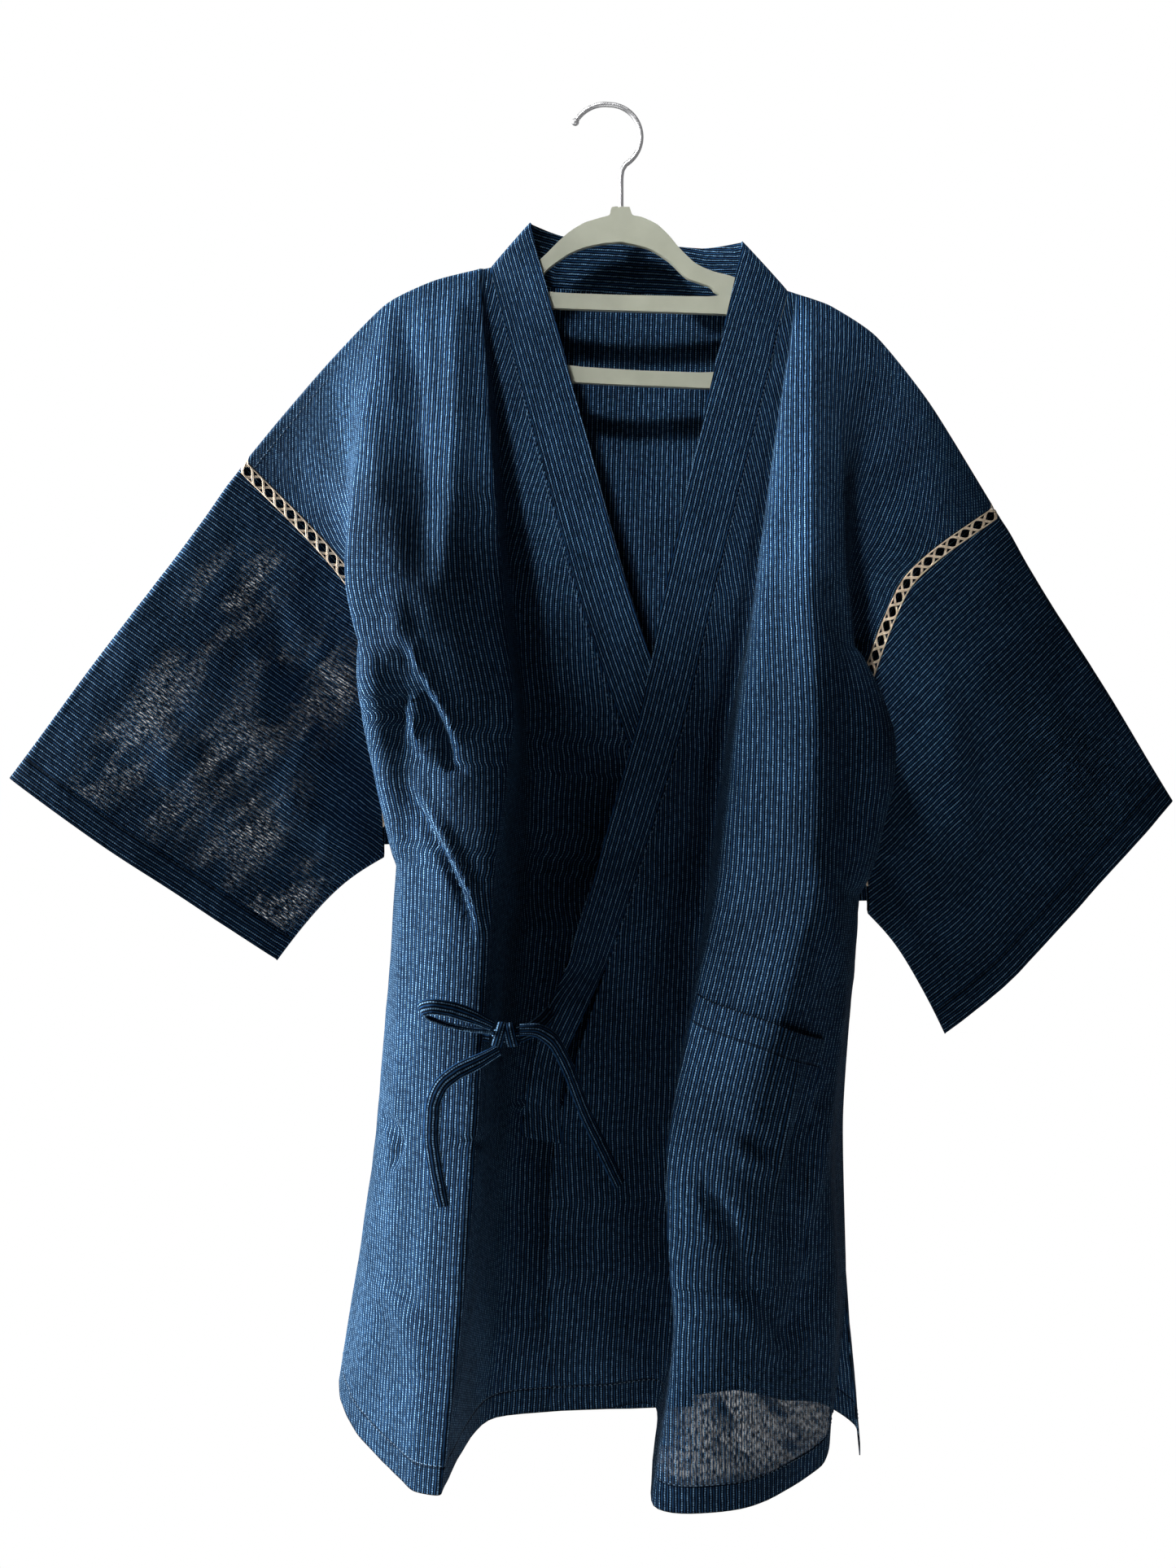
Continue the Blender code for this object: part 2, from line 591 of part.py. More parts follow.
def hook():
    """The bent wire: its tip, its bend round the rod, and its stem down into the boss."""
    centre_x, centre_z = HOOK_CENTRE
    route = []
    for angle in np.linspace(HOOK_TIP_ANGLE, HOOK_NECK_ANGLE, HOOK_STEPS + 1):
        past_top = max(0.0, angle - 90) / (HOOK_TIP_ANGLE - 90)
        radius = HOOK_RADIUS + HOOK_OPENING * past_top
        turn = math.radians(angle)
        route.append((centre_x + radius * math.cos(turn), 0.0, centre_z + radius * math.sin(turn)))
    route += [(x, 0.0, z) for x, z in HOOK_STEM]
    route.append((HOOK_STEM[-1][0], 0.0, BOSS_TOP + SEAM_GAP))
    curve = bpy.data.curves.new("hook", "CURVE")
    curve.dimensions = "3D"
    curve.bevel_depth = WIRE_RADIUS * MM
    curve.bevel_resolution = 2
    curve.use_fill_caps = True
    line = curve.splines.new("POLY")
    line.points.add(len(route) - 1)
    for point, place in zip(line.points, route):
        point.co = (*[c * MM for c in place], 1.0)
    line.points[0].radius = HOOK_TIP_RADIUS / WIRE_RADIUS
    return finish_object(bpy.data.objects.new("hook", curve), STEEL_WIRE)


def hanger(front_right, front_left, back):
    """The moulded plate; its arms' top edges lie just under the cloth's shoulder line."""
    def arm(front, ends):
        rest = []
        for x, _, z in front[:, 0]:
            lower = min(z, np.interp(x, back[:, 0, 0], back[:, 0, 2]))
            if ends[0] <= x <= ends[1]:
                rest.append((x, lower - ARM_CLEARANCE))
        return sorted(rest)

    outline = [*NECK_OUTLINE_LEFT, *arm(front_left, ARM_LEFT), *UNDER_OUTLINE,
               *arm(front_right, ARM_RIGHT), *reversed(NECK_OUTLINE_RIGHT)]
    work = bmesh.new()
    edges = []
    for loop in (outline, ARCH_WINDOW, BAR_WINDOW):
        points = [work.verts.new((x * MM, -HANGER_THICKNESS / 2 * MM, z * MM)) for x, z in loop]
        edges += [work.edges.new((points[i], points[(i + 1) % len(points)])) for i in range(len(points))]
    filled = bmesh.ops.triangle_fill(work, edges=edges, use_beauty=True)
    faces = [g for g in filled["geom"] if isinstance(g, bmesh.types.BMFace)]
    made = bmesh.ops.extrude_face_region(work, geom=faces)
    moved = [g for g in made["geom"] if isinstance(g, bmesh.types.BMVert)]
    bmesh.ops.translate(work, verts=moved, vec=(0, HANGER_THICKNESS * MM, 0))
    bmesh.ops.recalc_face_normals(work, faces=work.faces)
    mesh = bpy.data.meshes.new("hanger")
    work.to_mesh(mesh)
    work.free()
    plate = finish_object(bpy.data.objects.new("hanger", mesh), SAGE_PLASTIC)
    rounding = plate.modifiers.new("rounding", "BEVEL")
    rounding.width = HANGER_ROUNDING * MM
    rounding.segments = 1
    rounding.limit_method = "ANGLE"
    rounding.angle_limit = math.radians(60)
    return plate


def build():
    for thing in list(bpy.data.objects):
        bpy.data.objects.remove(thing)

    front_right = hang(FRONT_RIGHT, STEPS_ACROSS, [-TOP_GAP] * len(FRONT_RIGHT))
    front_left = hang(FRONT_LEFT, STEPS_ACROSS, [-TOP_GAP] * len(FRONT_LEFT))
    inside_neck = range(NECK_FOLDS[0] + 1, NECK_FOLDS[1])
    back_tops = [fold.shoulder[1] if i in inside_neck else TOP_GAP for i, fold in enumerate(BACK)]
    back = hang(BACK, BACK_STEPS_ACROSS, back_tops)
    match_shoulders(back, front_right, front_left)
    join_sides(front_right, back[0])
    join_sides(front_left, back[-1])
    open_side_seam(front_right, back, 0, 1)
    open_side_seam(front_left, back, -1, -2)

    cloth_wall("front_right", front_right, PANEL_WALL, level_rows=(0,))
    cloth_wall("front_left", front_left, PANEL_WALL, level_rows=(0,))
    cloth_wall("back", back, PANEL_WALL)
    front_collar(COLLAR_RIGHT, front_right, COLLAR_END_ROWS)
    front_collar(COLLAR_LEFT, front_left, TAB_END_ROWS, (TAB_EDGES, TAB_FREE_EDGES))
    back_collar(back)
    pocket(front_left)

    back_normals = normals(back)
    for sleeve, front, edge in ((SLEEVE_RIGHT, front_right, 0), (SLEEVE_LEFT, front_left, -1)):
        side = sleeve.name.replace("sleeve", "braid")
        near, far, start, cuff = sleeve_half(sleeve, front[-1], normals(front)[-1], -1)
        braid(side + "_front", near, far, BRAID_WALL)
        back_near, back_far, back_start, back_cuff = sleeve_half(sleeve, back[edge], back_normals[edge], 1)
        braid(side + "_back", back_near, back_far, BRAID_WALL)
        sleeve_tube(sleeve.name, start, cuff, back_start, back_cuff)

    for run in TIES:
        band(run)
    knot()
    hook()
    hanger(front_right, front_left, back)


build()
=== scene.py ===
import math
from collections import namedtuple
from functools import lru_cache

import bmesh
import bpy
import numpy as np
from bpy.props import FloatProperty, FloatVectorProperty, IntProperty, PointerProperty
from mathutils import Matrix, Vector


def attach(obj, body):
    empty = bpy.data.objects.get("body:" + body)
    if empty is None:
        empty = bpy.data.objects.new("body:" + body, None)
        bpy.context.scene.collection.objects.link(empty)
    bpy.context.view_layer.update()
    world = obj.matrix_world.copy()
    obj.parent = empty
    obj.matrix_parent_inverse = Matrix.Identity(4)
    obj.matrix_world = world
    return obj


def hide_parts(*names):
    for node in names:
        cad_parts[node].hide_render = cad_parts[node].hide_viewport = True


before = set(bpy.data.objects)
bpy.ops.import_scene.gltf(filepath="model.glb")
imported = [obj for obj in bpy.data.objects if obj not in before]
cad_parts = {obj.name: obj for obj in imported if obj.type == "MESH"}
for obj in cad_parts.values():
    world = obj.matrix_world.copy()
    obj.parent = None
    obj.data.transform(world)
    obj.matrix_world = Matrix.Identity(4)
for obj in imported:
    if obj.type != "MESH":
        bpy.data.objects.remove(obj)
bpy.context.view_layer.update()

bl_info = {
    "name": "Jinbei jacket on a hanger",
    "version": (1, 0, 0),
    "blender": (4, 5, 0),
    "location": "3D View > Sidebar > Jinbei",
    "description": "Dresses the jacket's frame with striped cotton, lace, ties, hanger and hook",
    "category": "Object",
}

MM = 0.001

# The garment's own frame, in millimetres, as its solids have it
PANEL_WALL = 0.8
COLLAR_WALL = 1.5
POCKET_WALL = 0.8
SOLID_PANEL_WALL = 1.2
SOLID_POCKET_WALL = 1.2
SEAM_GAP = 0.15
TOP_GAP = 0.25
SHOULDER_ROLL = 5.0
SPLINE_PULL = 0.36
ROLL_ANGLES = (0.0, 15.0, 30.0, 45.0, 60.0, 75.0)
SOLID_ROLL_ROWS = 3
SOLID_STEPS_DOWN = 3

STRAIGHT_FOLDS = {"front_right": 4, "front_left": 4}    # the fold that the stripes run along

# How finely each sheet is made
FRONT_STEPS = 11
BACK_STEPS = 8
STEPS_DOWN = 32
SLEEVE_STEPS = 64

Level = namedtuple("Level", "name height slope")
LEVELS = (
    Level("chest", -330, 0.0),
    Level("bust", -430, -0.05),
    Level("underarm", -536, -0.125),
    Level("tie", -700, 0.0),
    Level("hip", -820, 0.0),
)
UNDERARM_STATION = 3
HIP_STATION = 5
SEAM_CLOSES = 1 / 3       # stations below the underarm over which the side seam closes

Fold = namedtuple("Fold", "name shoulder chest bust underarm tie hip hem")
FRONT_RIGHT = (
    Fold("edge", (-81, -6, -112), (-24, -12), (9, -10), (45, -6), (58, -4), (58, -4), (58, -6, -900)),
    Fold("valley", (-86, -6, -113), (-66, -6), (-55, -4), (-52, -1), (-61, -3), (-68, -3),
         (-78, -5, -908)),
    Fold("nose_back", (-89, -7, -113), (-71, -50), (-61, -62), (-72, -84), (-83, -100), (-93, -101),
         (-104, -103, -911)),
    Fold("near_right", (-92, -8, -114), (-74, -74), (-65, -90), (-76, -104), (-86, -120), (-96, -121),
         (-107, -123, -911)),
    Fold("near_mid", (-122, -9, -122), (-122, -86), (-105, -96), (-105, -100), (-112, -111),
         (-118, -112), (-124, -114, -912)),
    Fold("near_left", (-154, -9, -138), (-171, -76), (-147, -80), (-135, -76), (-139, -84),
         (-139, -88), (-139, -94, -908)),
    Fold("side_turn", (-190, -7, -174), (-168, -38), (-147, -40), (-142, -42), (-152, -58),
         (-163, -56), (-165, -62, -898)),
    Fold("outer", (-225, -6, -214), (-167, -21), (-148, -23), (-144, -22), (-157, -30), (-173, -30),
         (-180, -36, -886)),
    Fold("side", (-249, -5, -243), (-173, -9), (-155, -12), (-146, -8), (-156, -5), (-176, -9),
         (-184, -20, -877)),
)
FRONT_LEFT = (
    Fold("edge", (123, -6, -128), (73, -31), (49, -35), (16, -38), (-35, -36), (-41, -32),
         (-40, -28, -895)),
    Fold("flat", (126, -6, -129), (89, -25), (66, -26), (42, -28), (5, -27), (4, -27), (-4, -26, -894)),
    Fold("valley", (129, -6, -130), (102, -19), (81, -20), (67, -21), (47, -21), (50, -22),
         (32, -24, -894)),
    Fold("near_left", (131, -8, -131), (100, -64), (84, -78), (69, -86), (37, -108), (40, -114),
         (27, -115, -921)),
    Fold("near_mid", (140, -9, -134), (129, -90), (132, -102), (126, -110), (90, -121), (84, -121),
         (84, -118, -921)),
    Fold("near_right", (155, -9, -140), (155, -64), (171, -70), (158, -76), (139, -84), (142, -80),
         (137, -78, -911)),
    Fold("side_turn", (185, -7, -160), (163, -24), (162, -26), (167, -34), (151, -44), (153, -44),
         (147, -46, -893)),
    Fold("outer", (222, -6, -206), (177, -11), (158, -14), (170, -15), (157, -22), (158, -24),
         (150, -38, -892)),
    Fold("side", (264, -5, -274), (201, -9), (163, -12), (171, -3), (162, -2), (163, -8),
         (151, -32, -893)),
)
BACK = (
    Fold("side_right", (-249, 5, -243), (-173, 9), (-155, 10), (-146, -2), (-156, -5), (-176, -9),
         (-177, -7, -884)),
    Fold("outer_right", (-225, 6, -214), (-163, 20), (-140, 24), (-134, 21), (-150, 22), (-172, 20),
         (-174, 14, -887)),
    Fold("blade_right", (-172, 8, -155), (-140, 34), (-125, 34), (-118, 36), (-120, 38), (-130, 36),
         (-135, 32, -898)),
    Fold("inner_right", (-122, 8, -122), (-104, 24), (-85, 22), (-80, 20), (-84, 18), (-88, 20),
         (-92, 22, -902)),
    Fold("neck_right", (-81, 8, -112), (-62, 32), (-50, 35), (-45, 36), (-48, 38), (-50, 38),
         (-52, 38, -903)),
    Fold("neck_mid_right", (-40, 22, -118), (-30, 27), (-20, 25), (-15, 24), (-14, 24), (-14, 26),
         (-14, 28, -903)),
    Fold("centre", (21, 26, -121), (15, 30), (15, 32), (18, 36), (20, 38), (20, 38), (20, 36, -904)),
    Fold("neck_mid_left", (82, 22, -125), (58, 26), (52, 24), (52, 22), (54, 22), (56, 24),
         (58, 26, -904)),
    Fold("neck_left", (123, 8, -128), (96, 32), (85, 35), (86, 36), (88, 38), (90, 38), (92, 36, -904)),
    Fold("inner_left", (155, 8, -140), (130, 22), (118, 20), (118, 20), (118, 20), (120, 22),
         (124, 22, -906)),
    Fold("blade_left", (190, 8, -165), (160, 30), (145, 30), (145, 32), (142, 32), (145, 30),
         (150, 22, -908)),
    Fold("outer_left", (222, 6, -206), (186, 19), (151, 20), (158, 18), (156, 14), (165, 8),
         (172, 0, -916)),
    Fold("side_left", (264, 5, -274), (201, 9), (163, 10), (171, 3), (162, -2), (163, -8),
         (171, -20, -928)),
)
NECK_FOLDS = (4, 8)

CollarEdge = namedtuple("CollarEdge", "name neck chest bust underarm tie")
COLLAR_RIGHT = CollarEdge("collar_right", (-54, -6, -81), (8, -22, -319), (41, -14, -419),
                          (79, -8, -532), (96, -6, -694))
COLLAR_LEFT = CollarEdge("collar_left", (92, -6, -94), (40, -41, -326), (20, -42, -424),
                         (-11, -52, -532), (-62, -66, -700))
COLLAR_RIGHT_END = 3.667  # stations down the front at which each band's seam ends
COLLAR_LEFT_END = 3.333
TAB_EDGES = ((-17, -55, -622), (-29, -61, -648), (-33, -65, -676), (-31, -68, -705))
TAB_FREE_EDGES = ((-39, -63, -614), (-47, -68, -640), (-54, -71, -669), (-58, -74, -700))
TAB_STEPS = 10
BACK_COLLAR_TOP = ((-54, 0.6, -81), (-30, 19, -84), (20, 22, -87), (66, 19, -92), (92, 0.6, -94))
COLLAR_EASE = 0.25
COLLAR_TOP_GAP = 0.6
COLLAR_CROWN = 1.0
COLLAR_STEPS = 9

Sleeve = namedtuple("Sleeve", "name cuff")
SLEEVES = {
    "right": Sleeve("sleeve_right", ((-407, -25, -466), (-342, -25, -512), (-295, -22, -543),
                                     (-224, -20, -591))),
    "left": Sleeve("sleeve_left", ((400, 25, -482), (342, 20, -543), (279, 14, -609), (233, 10, -646))),
}
CUFF_HALF_DEPTH = 8.0
CUFF_ROUNDNESS = 0.4
CUFF_REACH = 0.985
SLEEVE_WAVE = 3.0
SLEEVE_WAVES_ALONG = 1.1
SLEEVE_WAVES_ROUND = 0.55
ARMHOLE_DROP = 2.5
CUFF_DROP = 1.0
UNDERARM_LIFT = 9.0
TAB_TURN = 5.5
LACE_TUCK = 16.0
BRAID_WIDTH = 8.5
BRAID_EASE = 0.3

POCKET_FOLDS = (3, 4.667)
POCKET_STATIONS = (3.333, 4.667)
POCKET_MOUTH = (3.40, 3.53)       # where its mouth runs, from its left end to its right end
POCKET_ROWS = 44
POCKET_BELLY = 3.6
POCKET_FALL = 0.7

TieRun = namedtuple("TieRun", "name far_end points")
TIES = {run.name: run for run in (
    TieRun("tie_stub", "object", ((-58.2, -110.3, -627.7), (-50, -98, -626), (-43.5, -82, -623),
                                  (-39.4, -65.8, -620))),
    TieRun("tie_anchor", "object", ((-84.9, -109, -626), (-80, -112, -626), (-75.6, -113.1, -626.5))),
    TieRun("bow_loop", "object", ((-74, -121, -620), (-85, -126.5, -614), (-98, -130, -609),
                                  (-110, -131, -607), (-117, -128, -609), (-115, -124.5, -614),
                                  (-103, -122.5, -619), (-90, -121.5, -622), (-75, -118, -624.4))),
    TieRun("tie_left_tail", "bare", ((-70.4, -117.3, -636), (-82, -122, -642), (-95, -125, -648),
                                     (-105, -126.5, -656), (-110, -126.5, -668), (-111, -127, -690),
                                     (-108, -127.5, -711), (-104, -128, -731))),
    TieRun("tie_right_tail", "bare", ((-57.1, -116.7, -623.4), (-46, -115.5, -624), (-36, -107, -632),
                                      (-27, -97, -651), (-16, -85, -682), (-5, -79, -706),
                                      (6, -75, -730))),
)}
TIE_FACING = (0.0, -1.0, 0.15)
TIE_SIDES = 14
KNOT_CENTRE = (-66.0, -114.0, -627.0)
KNOT_SIZE = (17.0, 11.0, 15.5)

# The view: the camera's eye, and what the photographed frame spans at the hanger's plane
EYE = (-14.4, -1150.0, -470.0)
FRAME_HEIGHT = 1088.8
SENSOR = 36.0

# Creases, as the camera sees them, in millimetres at the hanger's plane.
# A height below nought is a trough, and each fades out at both ends.
Crease = namedtuple("Crease", "panel width height points")
CREASES = (
    # under the right arm, where the front gathers over the lace
    Crease("front_right", 6, -7, ((-130, -402), (-122, -419), (-114, -438), (-110, -457), (-98, -461))),
    Crease("front_right", 5, 4, ((-152, -332), (-144, -360), (-131, -388), (-122, -405), (-111, -424),
                                 (-104, -443))),
    Crease("front_right", 4, -5, ((-139, -402), (-144, -419), (-146, -438), (-145, -446))),
    Crease("front_right", 6, 4, ((-138, -408), (-133, -438), (-122, -457))),
    Crease("front_right", 5, -4.5, ((-140, -473), (-128, -495), (-116, -518), (-102, -546), (-93, -576))),
    Crease("front_right", 5, 4, ((-134, -467), (-122, -490), (-110, -513), (-97, -542), (-89, -574))),
    Crease("front_right", 4, 2.5, ((-148, -350), (-150, -380), (-147, -400))),
    Crease("front_right", 18, 15, ((-166, -372), (-162, -420), (-157, -470), (-152, -525))),
    Crease("front_left", 20, 15, ((178, -375), (183, -430), (184, -490), (176, -545))),
    # tucks and dents down the right front
    Crease("front_right", 6, -6, ((-156, -700), (-150, -708), (-146, -722), (-150, -738))),
    Crease("front_right", 5, -3, ((-112, -712), (-100, -718), (-92, -719), (-84, -716))),
    Crease("front_right", 14, 3, ((-165, -812), (-140, -840), (-132, -880))),
    Crease("front_right", 16, -3, ((-168, -280), (-150, -268), (-120, -272), (-100, -286))),
    Crease("front_right", 15, -6, ((-142, -140), (-137, -190), (-134, -255), (-130, -330))),
    Crease("front_right", 14, 5, ((-106, -130), (-105, -195), (-107, -265), (-113, -335))),
    Crease("front_right", 14, 3, ((-168, -190), (-162, -240), (-160, -300))),
    # the left front: a small pleat by the collar, the long fold, and the pocket's dents
    Crease("front_left", 4, -4, ((121, -136), (119, -150), (117, -168), (116, -182))),
    Crease("front_left", 12, 3, ((128, -170), (122, -240), (112, -320), (104, -420))),
    Crease("front_left", 18, -3, ((150, -330), (172, -380), (186, -430))),
    Crease("front_left", 14, 3, ((150, -520), (156, -580), (160, -610))),
    Crease("front_left", 10, -4, ((62, -742), (80, -770), (92, -800), (96, -830))),
    Crease("front_left", 8, -4, ((140, -655), (128, -700), (120, -745), (116, -790))),
    Crease("front_left", 9, 4, ((150, -690), (145, -730), (137, -775))),
    Crease("front_left", 12, 3, ((85, -820), (104, -850), (118, -872))),
    Crease("front_left", 14, -3, ((140, -800), (132, -835), (120, -860))),
    Crease("pocket", 10, -3, ((78, -705), (95, -712), (108, -726))),
    Crease("pocket", 9, 3, ((82, -716), (98, -728), (108, -742))),
    Crease("pocket", 9, -3, ((66, -740), (74, -762), (88, -782))),
    Crease("pocket", 7, 3, ((130, -660), (122, -700), (115, -735), (112, -770))),
    # the sleeves
    Crease("sleeve_right", 20, -4, ((-250, -330), (-225, -380), (-190, -430), (-160, -470))),
    Crease("sleeve_right", 22, 4, ((-235, -470), (-200, -500), (-160, -515))),
    Crease("sleeve_right", 16, -3, ((-205, -560), (-180, -530), (-150, -505))),
    Crease("sleeve_right", 24, 3, ((-330, -430), (-280, -470), (-250, -510))),
    Crease("sleeve_left", 18, 4, ((215, -360), (240, -450), (250, -520))),
    Crease("sleeve_left", 20, -4, ((190, -400), (205, -480), (215, -560))),
    Crease("sleeve_left", 22, 3, ((290, -380), (310, -440), (330, -490))),
    Crease("sleeve_left", 14, -3, ((196, -520), (215, -560), (240, -600))),
    # the back
    Crease("back", 20, -3, ((-120, -200), (-112, -330), (-108, -460))),
    Crease("back", 18, 3, ((150, -220), (140, -340), (132, -450))),
    Crease("back", 14, -3, ((-60, -520), (-40, -600), (-38, -700))),
    Crease("back", 16, 3, ((60, -480), (72, -600), (70, -720))),
    Crease("back", 9, -2, ((-150, -700), (-90, -706), (-20, -702), (60, -708), (140, -704))),
    Crease("back", 9, -2, ((-160, -420), (-80, -424), (0, -420), (90, -426), (150, -421))),
)
# Places where the cloth hangs so open that light comes through it
Sheer = namedtuple("Sheer", "panel light x z across down turn")
SHEER = (
    Sheer("sleeve_right", 0.92, -330, -445, 50, 30, 40), Sheer("sleeve_right", 0.92, -300, -400, 60, 26, 48),
    Sheer("sleeve_right", 0.92, -262, -340, 52, 34, 40), Sheer("sleeve_right", 0.88, -290, -470, 70, 30, 50),
    Sheer("sleeve_right", 0.88, -240, -420, 34, 66, -30), Sheer("sleeve_right", 0.88, -255, -510, 70, 26, 45),
    Sheer("sleeve_right", 0.88, -225, -550, 46, 22, 40), Sheer("sleeve_right", 0.88, -350, -470, 40, 20, 30),
    Sheer("sleeve_right", 0.88, -195, -400, 26, 60, -20), Sheer("sleeve_left", 0.2, 330, -470, 70, 30, -50),
    Sheer("front_right", 0.62, -205, -215, 26, 50, 30),
    Sheer("front_left", 0.60, 104, -912, 62, 40, 8), Sheer("front_left", 0.52, 62, -940, 34, 18, 0),
    Sheer("back", 0.46, -97, -878, 40, 26, 0), Sheer("back", 0.36, 20, -888, 60, 8, 0),
)

# Hanger outlines, as the moulded plate has them
HANGER_THICKNESS = 4.4
ARM_CLEARANCE = 1.4
ARM_RIGHT = (-162, -80)
ARM_LEFT = (122, 186)
NECK_OUTLINE_LEFT = ((14.5, -70), (16.5, -75.5), (23, -77), (33.5, -82), (42, -90), (49, -98.5),
                     (60, -109), (72, -114.5), (88, -119), (110, -130.5))
NECK_OUTLINE_RIGHT = ((2.5, -70), (0.5, -75.5), (-6, -77.5), (-17, -81), (-27, -87), (-35, -94),
                      (-47, -106), (-56, -112.5), (-66, -115.5))
UNDER_OUTLINE = ((188, -178), (176, -176), (150, -159), (124, -149), (103, -145), (100, -152),
                 (98, -186), (92, -196), (-48, -190), (-55, -184), (-58, -150), (-61, -136),
                 (-82, -131), (-112, -137), (-140, -150), (-158, -158), (-166, -156))
ARCH_WINDOW = ((8.5, -94), (-6, -95.5), (-17, -98), (-27, -102), (-36, -108), (-45, -116), (-47, -128.5),
               (69, -132), (72.5, -128), (69, -124.5), (54, -119), (42.5, -108), (28, -98.7))
BAR_WINDOW = ((-44, -140), (-44, -152), (-42, -178), (88, -184), (90, -156), (88, -146), (74, -144))
OUTLINE_STEPS = 4

WIRE_RADIUS = 1.75
HOOK_CENTRE = (0.0, -20.7)
HOOK_RADIUS = 22.4
HOOK_OPENING = 3.0
HOOK_TIP_ANGLE = 156.0
HOOK_NECK_ANGLE = -58.0
HOOK_STEPS = 72
HOOK_TIP_RADIUS = 2.6
HOOK_STEM = ((9.3, -44.0), (8.5, -50.0), (8.5, -60.0), (8.5, -69.7))


def spline(points, steps):
    """A taut smooth curve through points along axis 0, with this many steps to each span."""
    points = np.asarray(points, dtype=float)
    last = len(points) - 1
    result = []
    for i in range(last):
        before, start, end, after = (points[min(max(i + k, 0), last)] for k in (-1, 0, 1, 2))
        leave = SPLINE_PULL * (end - before)
        arrive = SPLINE_PULL * (after - start)
        for k in range(steps):
            t = k / steps
            result.append((2 * t ** 3 - 3 * t ** 2 + 1) * start + (t ** 3 - 2 * t ** 2 + t) * leave
                          + (3 * t ** 2 - 2 * t ** 3) * end + (t ** 3 - t ** 2) * arrive)
    result.append(points[-1])
    return np.array(result)


def unit(vectors):
    length = np.linalg.norm(vectors, axis=-1, keepdims=True)
    return vectors / np.maximum(length, 1e-9)


def smooth(values):
    """The usual soft step from 0 to 1."""
    values = np.clip(values, 0.0, 1.0)
    return values * values * (3 - 2 * values)


def hat(distance):
    """1 at no distance, falling softly to 0 at 1 and beyond."""
    return (1 - np.clip(np.abs(distance), 0, 1) ** 2) ** 2


def run_lengths(grid, axis):
    """How far each point lies along its own line from the first one."""
    steps = np.linalg.norm(np.diff(grid, axis=axis), axis=-1)
    start = np.zeros_like(np.take(steps, [0], axis=axis))
    return np.cumsum(np.concatenate([start, steps], axis=axis), axis=axis)


def arc_shares(points):
    lengths = run_lengths(points, 0)
    return lengths / lengths[-1]


def normals(grid, ring=False):
    """Unit normals of a grid of points, which may close on itself along axis 0."""
    if ring:
        across = np.roll(grid, -1, axis=0) - np.roll(grid, 1, axis=0)
    else:
        across = np.gradient(grid, axis=0)
    return unit(np.cross(across, np.gradient(grid, axis=1)))


def as_seen(points):
    """Where the camera sees points, on the hanger's plane: x and z."""
    eye = np.array(EYE)
    reach = -eye[1] / (points[..., 1] - eye[1])
    return (points[..., [0, 2]] - eye[[0, 2]]) * reach[..., None] + eye[[0, 2]]


def relief(panel, grid):
    """How far each point of a panel stands out for the creases placed on it."""
    seen = as_seen(grid)
    height = np.zeros(grid.shape[:2])
    for crease in CREASES:
        if crease.panel != panel:
            continue
        line = np.array(crease.points, dtype=float)
        lengths = run_lengths(line, 0)
        nearest = np.full(height.shape, 1e9)
        place = np.zeros(height.shape)
        for start, end, before in zip(line[:-1], line[1:], lengths[:-1]):
            step = end - start
            size = np.linalg.norm(step)
            share = np.clip((seen - start) @ step / size ** 2, 0, 1)
            away = np.linalg.norm(seen - start - share[..., None] * step, axis=-1)
            closer = away < nearest
            nearest = np.where(closer, away, nearest)
            place = np.where(closer, (before + share * size) / lengths[-1], place)
        height += crease.height * hat(nearest / crease.width) * np.sin(math.pi * place) ** 0.6
    return height


def waviness(grid, size):
    """The cloth's own small unevenness, along and across the panel."""
    u = run_lengths(grid, 0)
    v = run_lengths(grid, 1)
    return size * (np.sin(u / 11 + np.sin(v / 31)) * np.sin(v / 23 + 1.3)
                   + 0.6 * np.sin(u / 5.3 + 2 * np.sin(v / 17)) * np.sin(v / 9.1 + u / 40))


def fold_stations(fold):
    """A fold's places from just under the shoulder's roll to the hem."""
    x, y, z = fold.shoulder
    places = [(x, y, z - SHOULDER_ROLL)]
    for level in LEVELS:
        x, y = getattr(fold, level.name)
        places.append((x, y, level.height + level.slope * x))
    places.append(fold.hem)
    return places


def hang(folds, steps_across, tops):
    """The grid of a hanging panel: axis 0 across the folds, axis 1 down the cloth."""
    table = np.array([fold_stations(fold) for fold in folds], dtype=float)
    across = spline(table, steps_across)
    fall = spline(across.transpose(1, 0, 2), STEPS_DOWN).transpose(1, 0, 2)
    places = np.arange(len(across)) / steps_across
    top_y = np.interp(places, np.arange(len(tops)), tops)
    roll = []
    for angle in ROLL_ANGLES:
        turn = math.radians(angle)
        row = fall[:, 0].copy()
        row[:, 1] = top_y + (fall[:, 0, 1] - top_y) * math.sin(turn)
        row[:, 2] += SHOULDER_ROLL * math.cos(turn)
        roll.append(row)
    return np.concatenate([np.stack(roll, axis=1), fall], axis=1)


def row_of_station(station):
    return len(ROLL_ANGLES) + int(round(station * STEPS_DOWN))


def solid_rows(rows):
    """The rows of the plain solid that lie where these rows do."""
    rows = np.asarray(rows, dtype=float)
    roll = len(ROLL_ANGLES)
    below = SOLID_ROLL_ROWS + (rows - roll) / STEPS_DOWN * SOLID_STEPS_DOWN
    return np.where(rows < roll, rows / roll * SOLID_ROLL_ROWS, below)


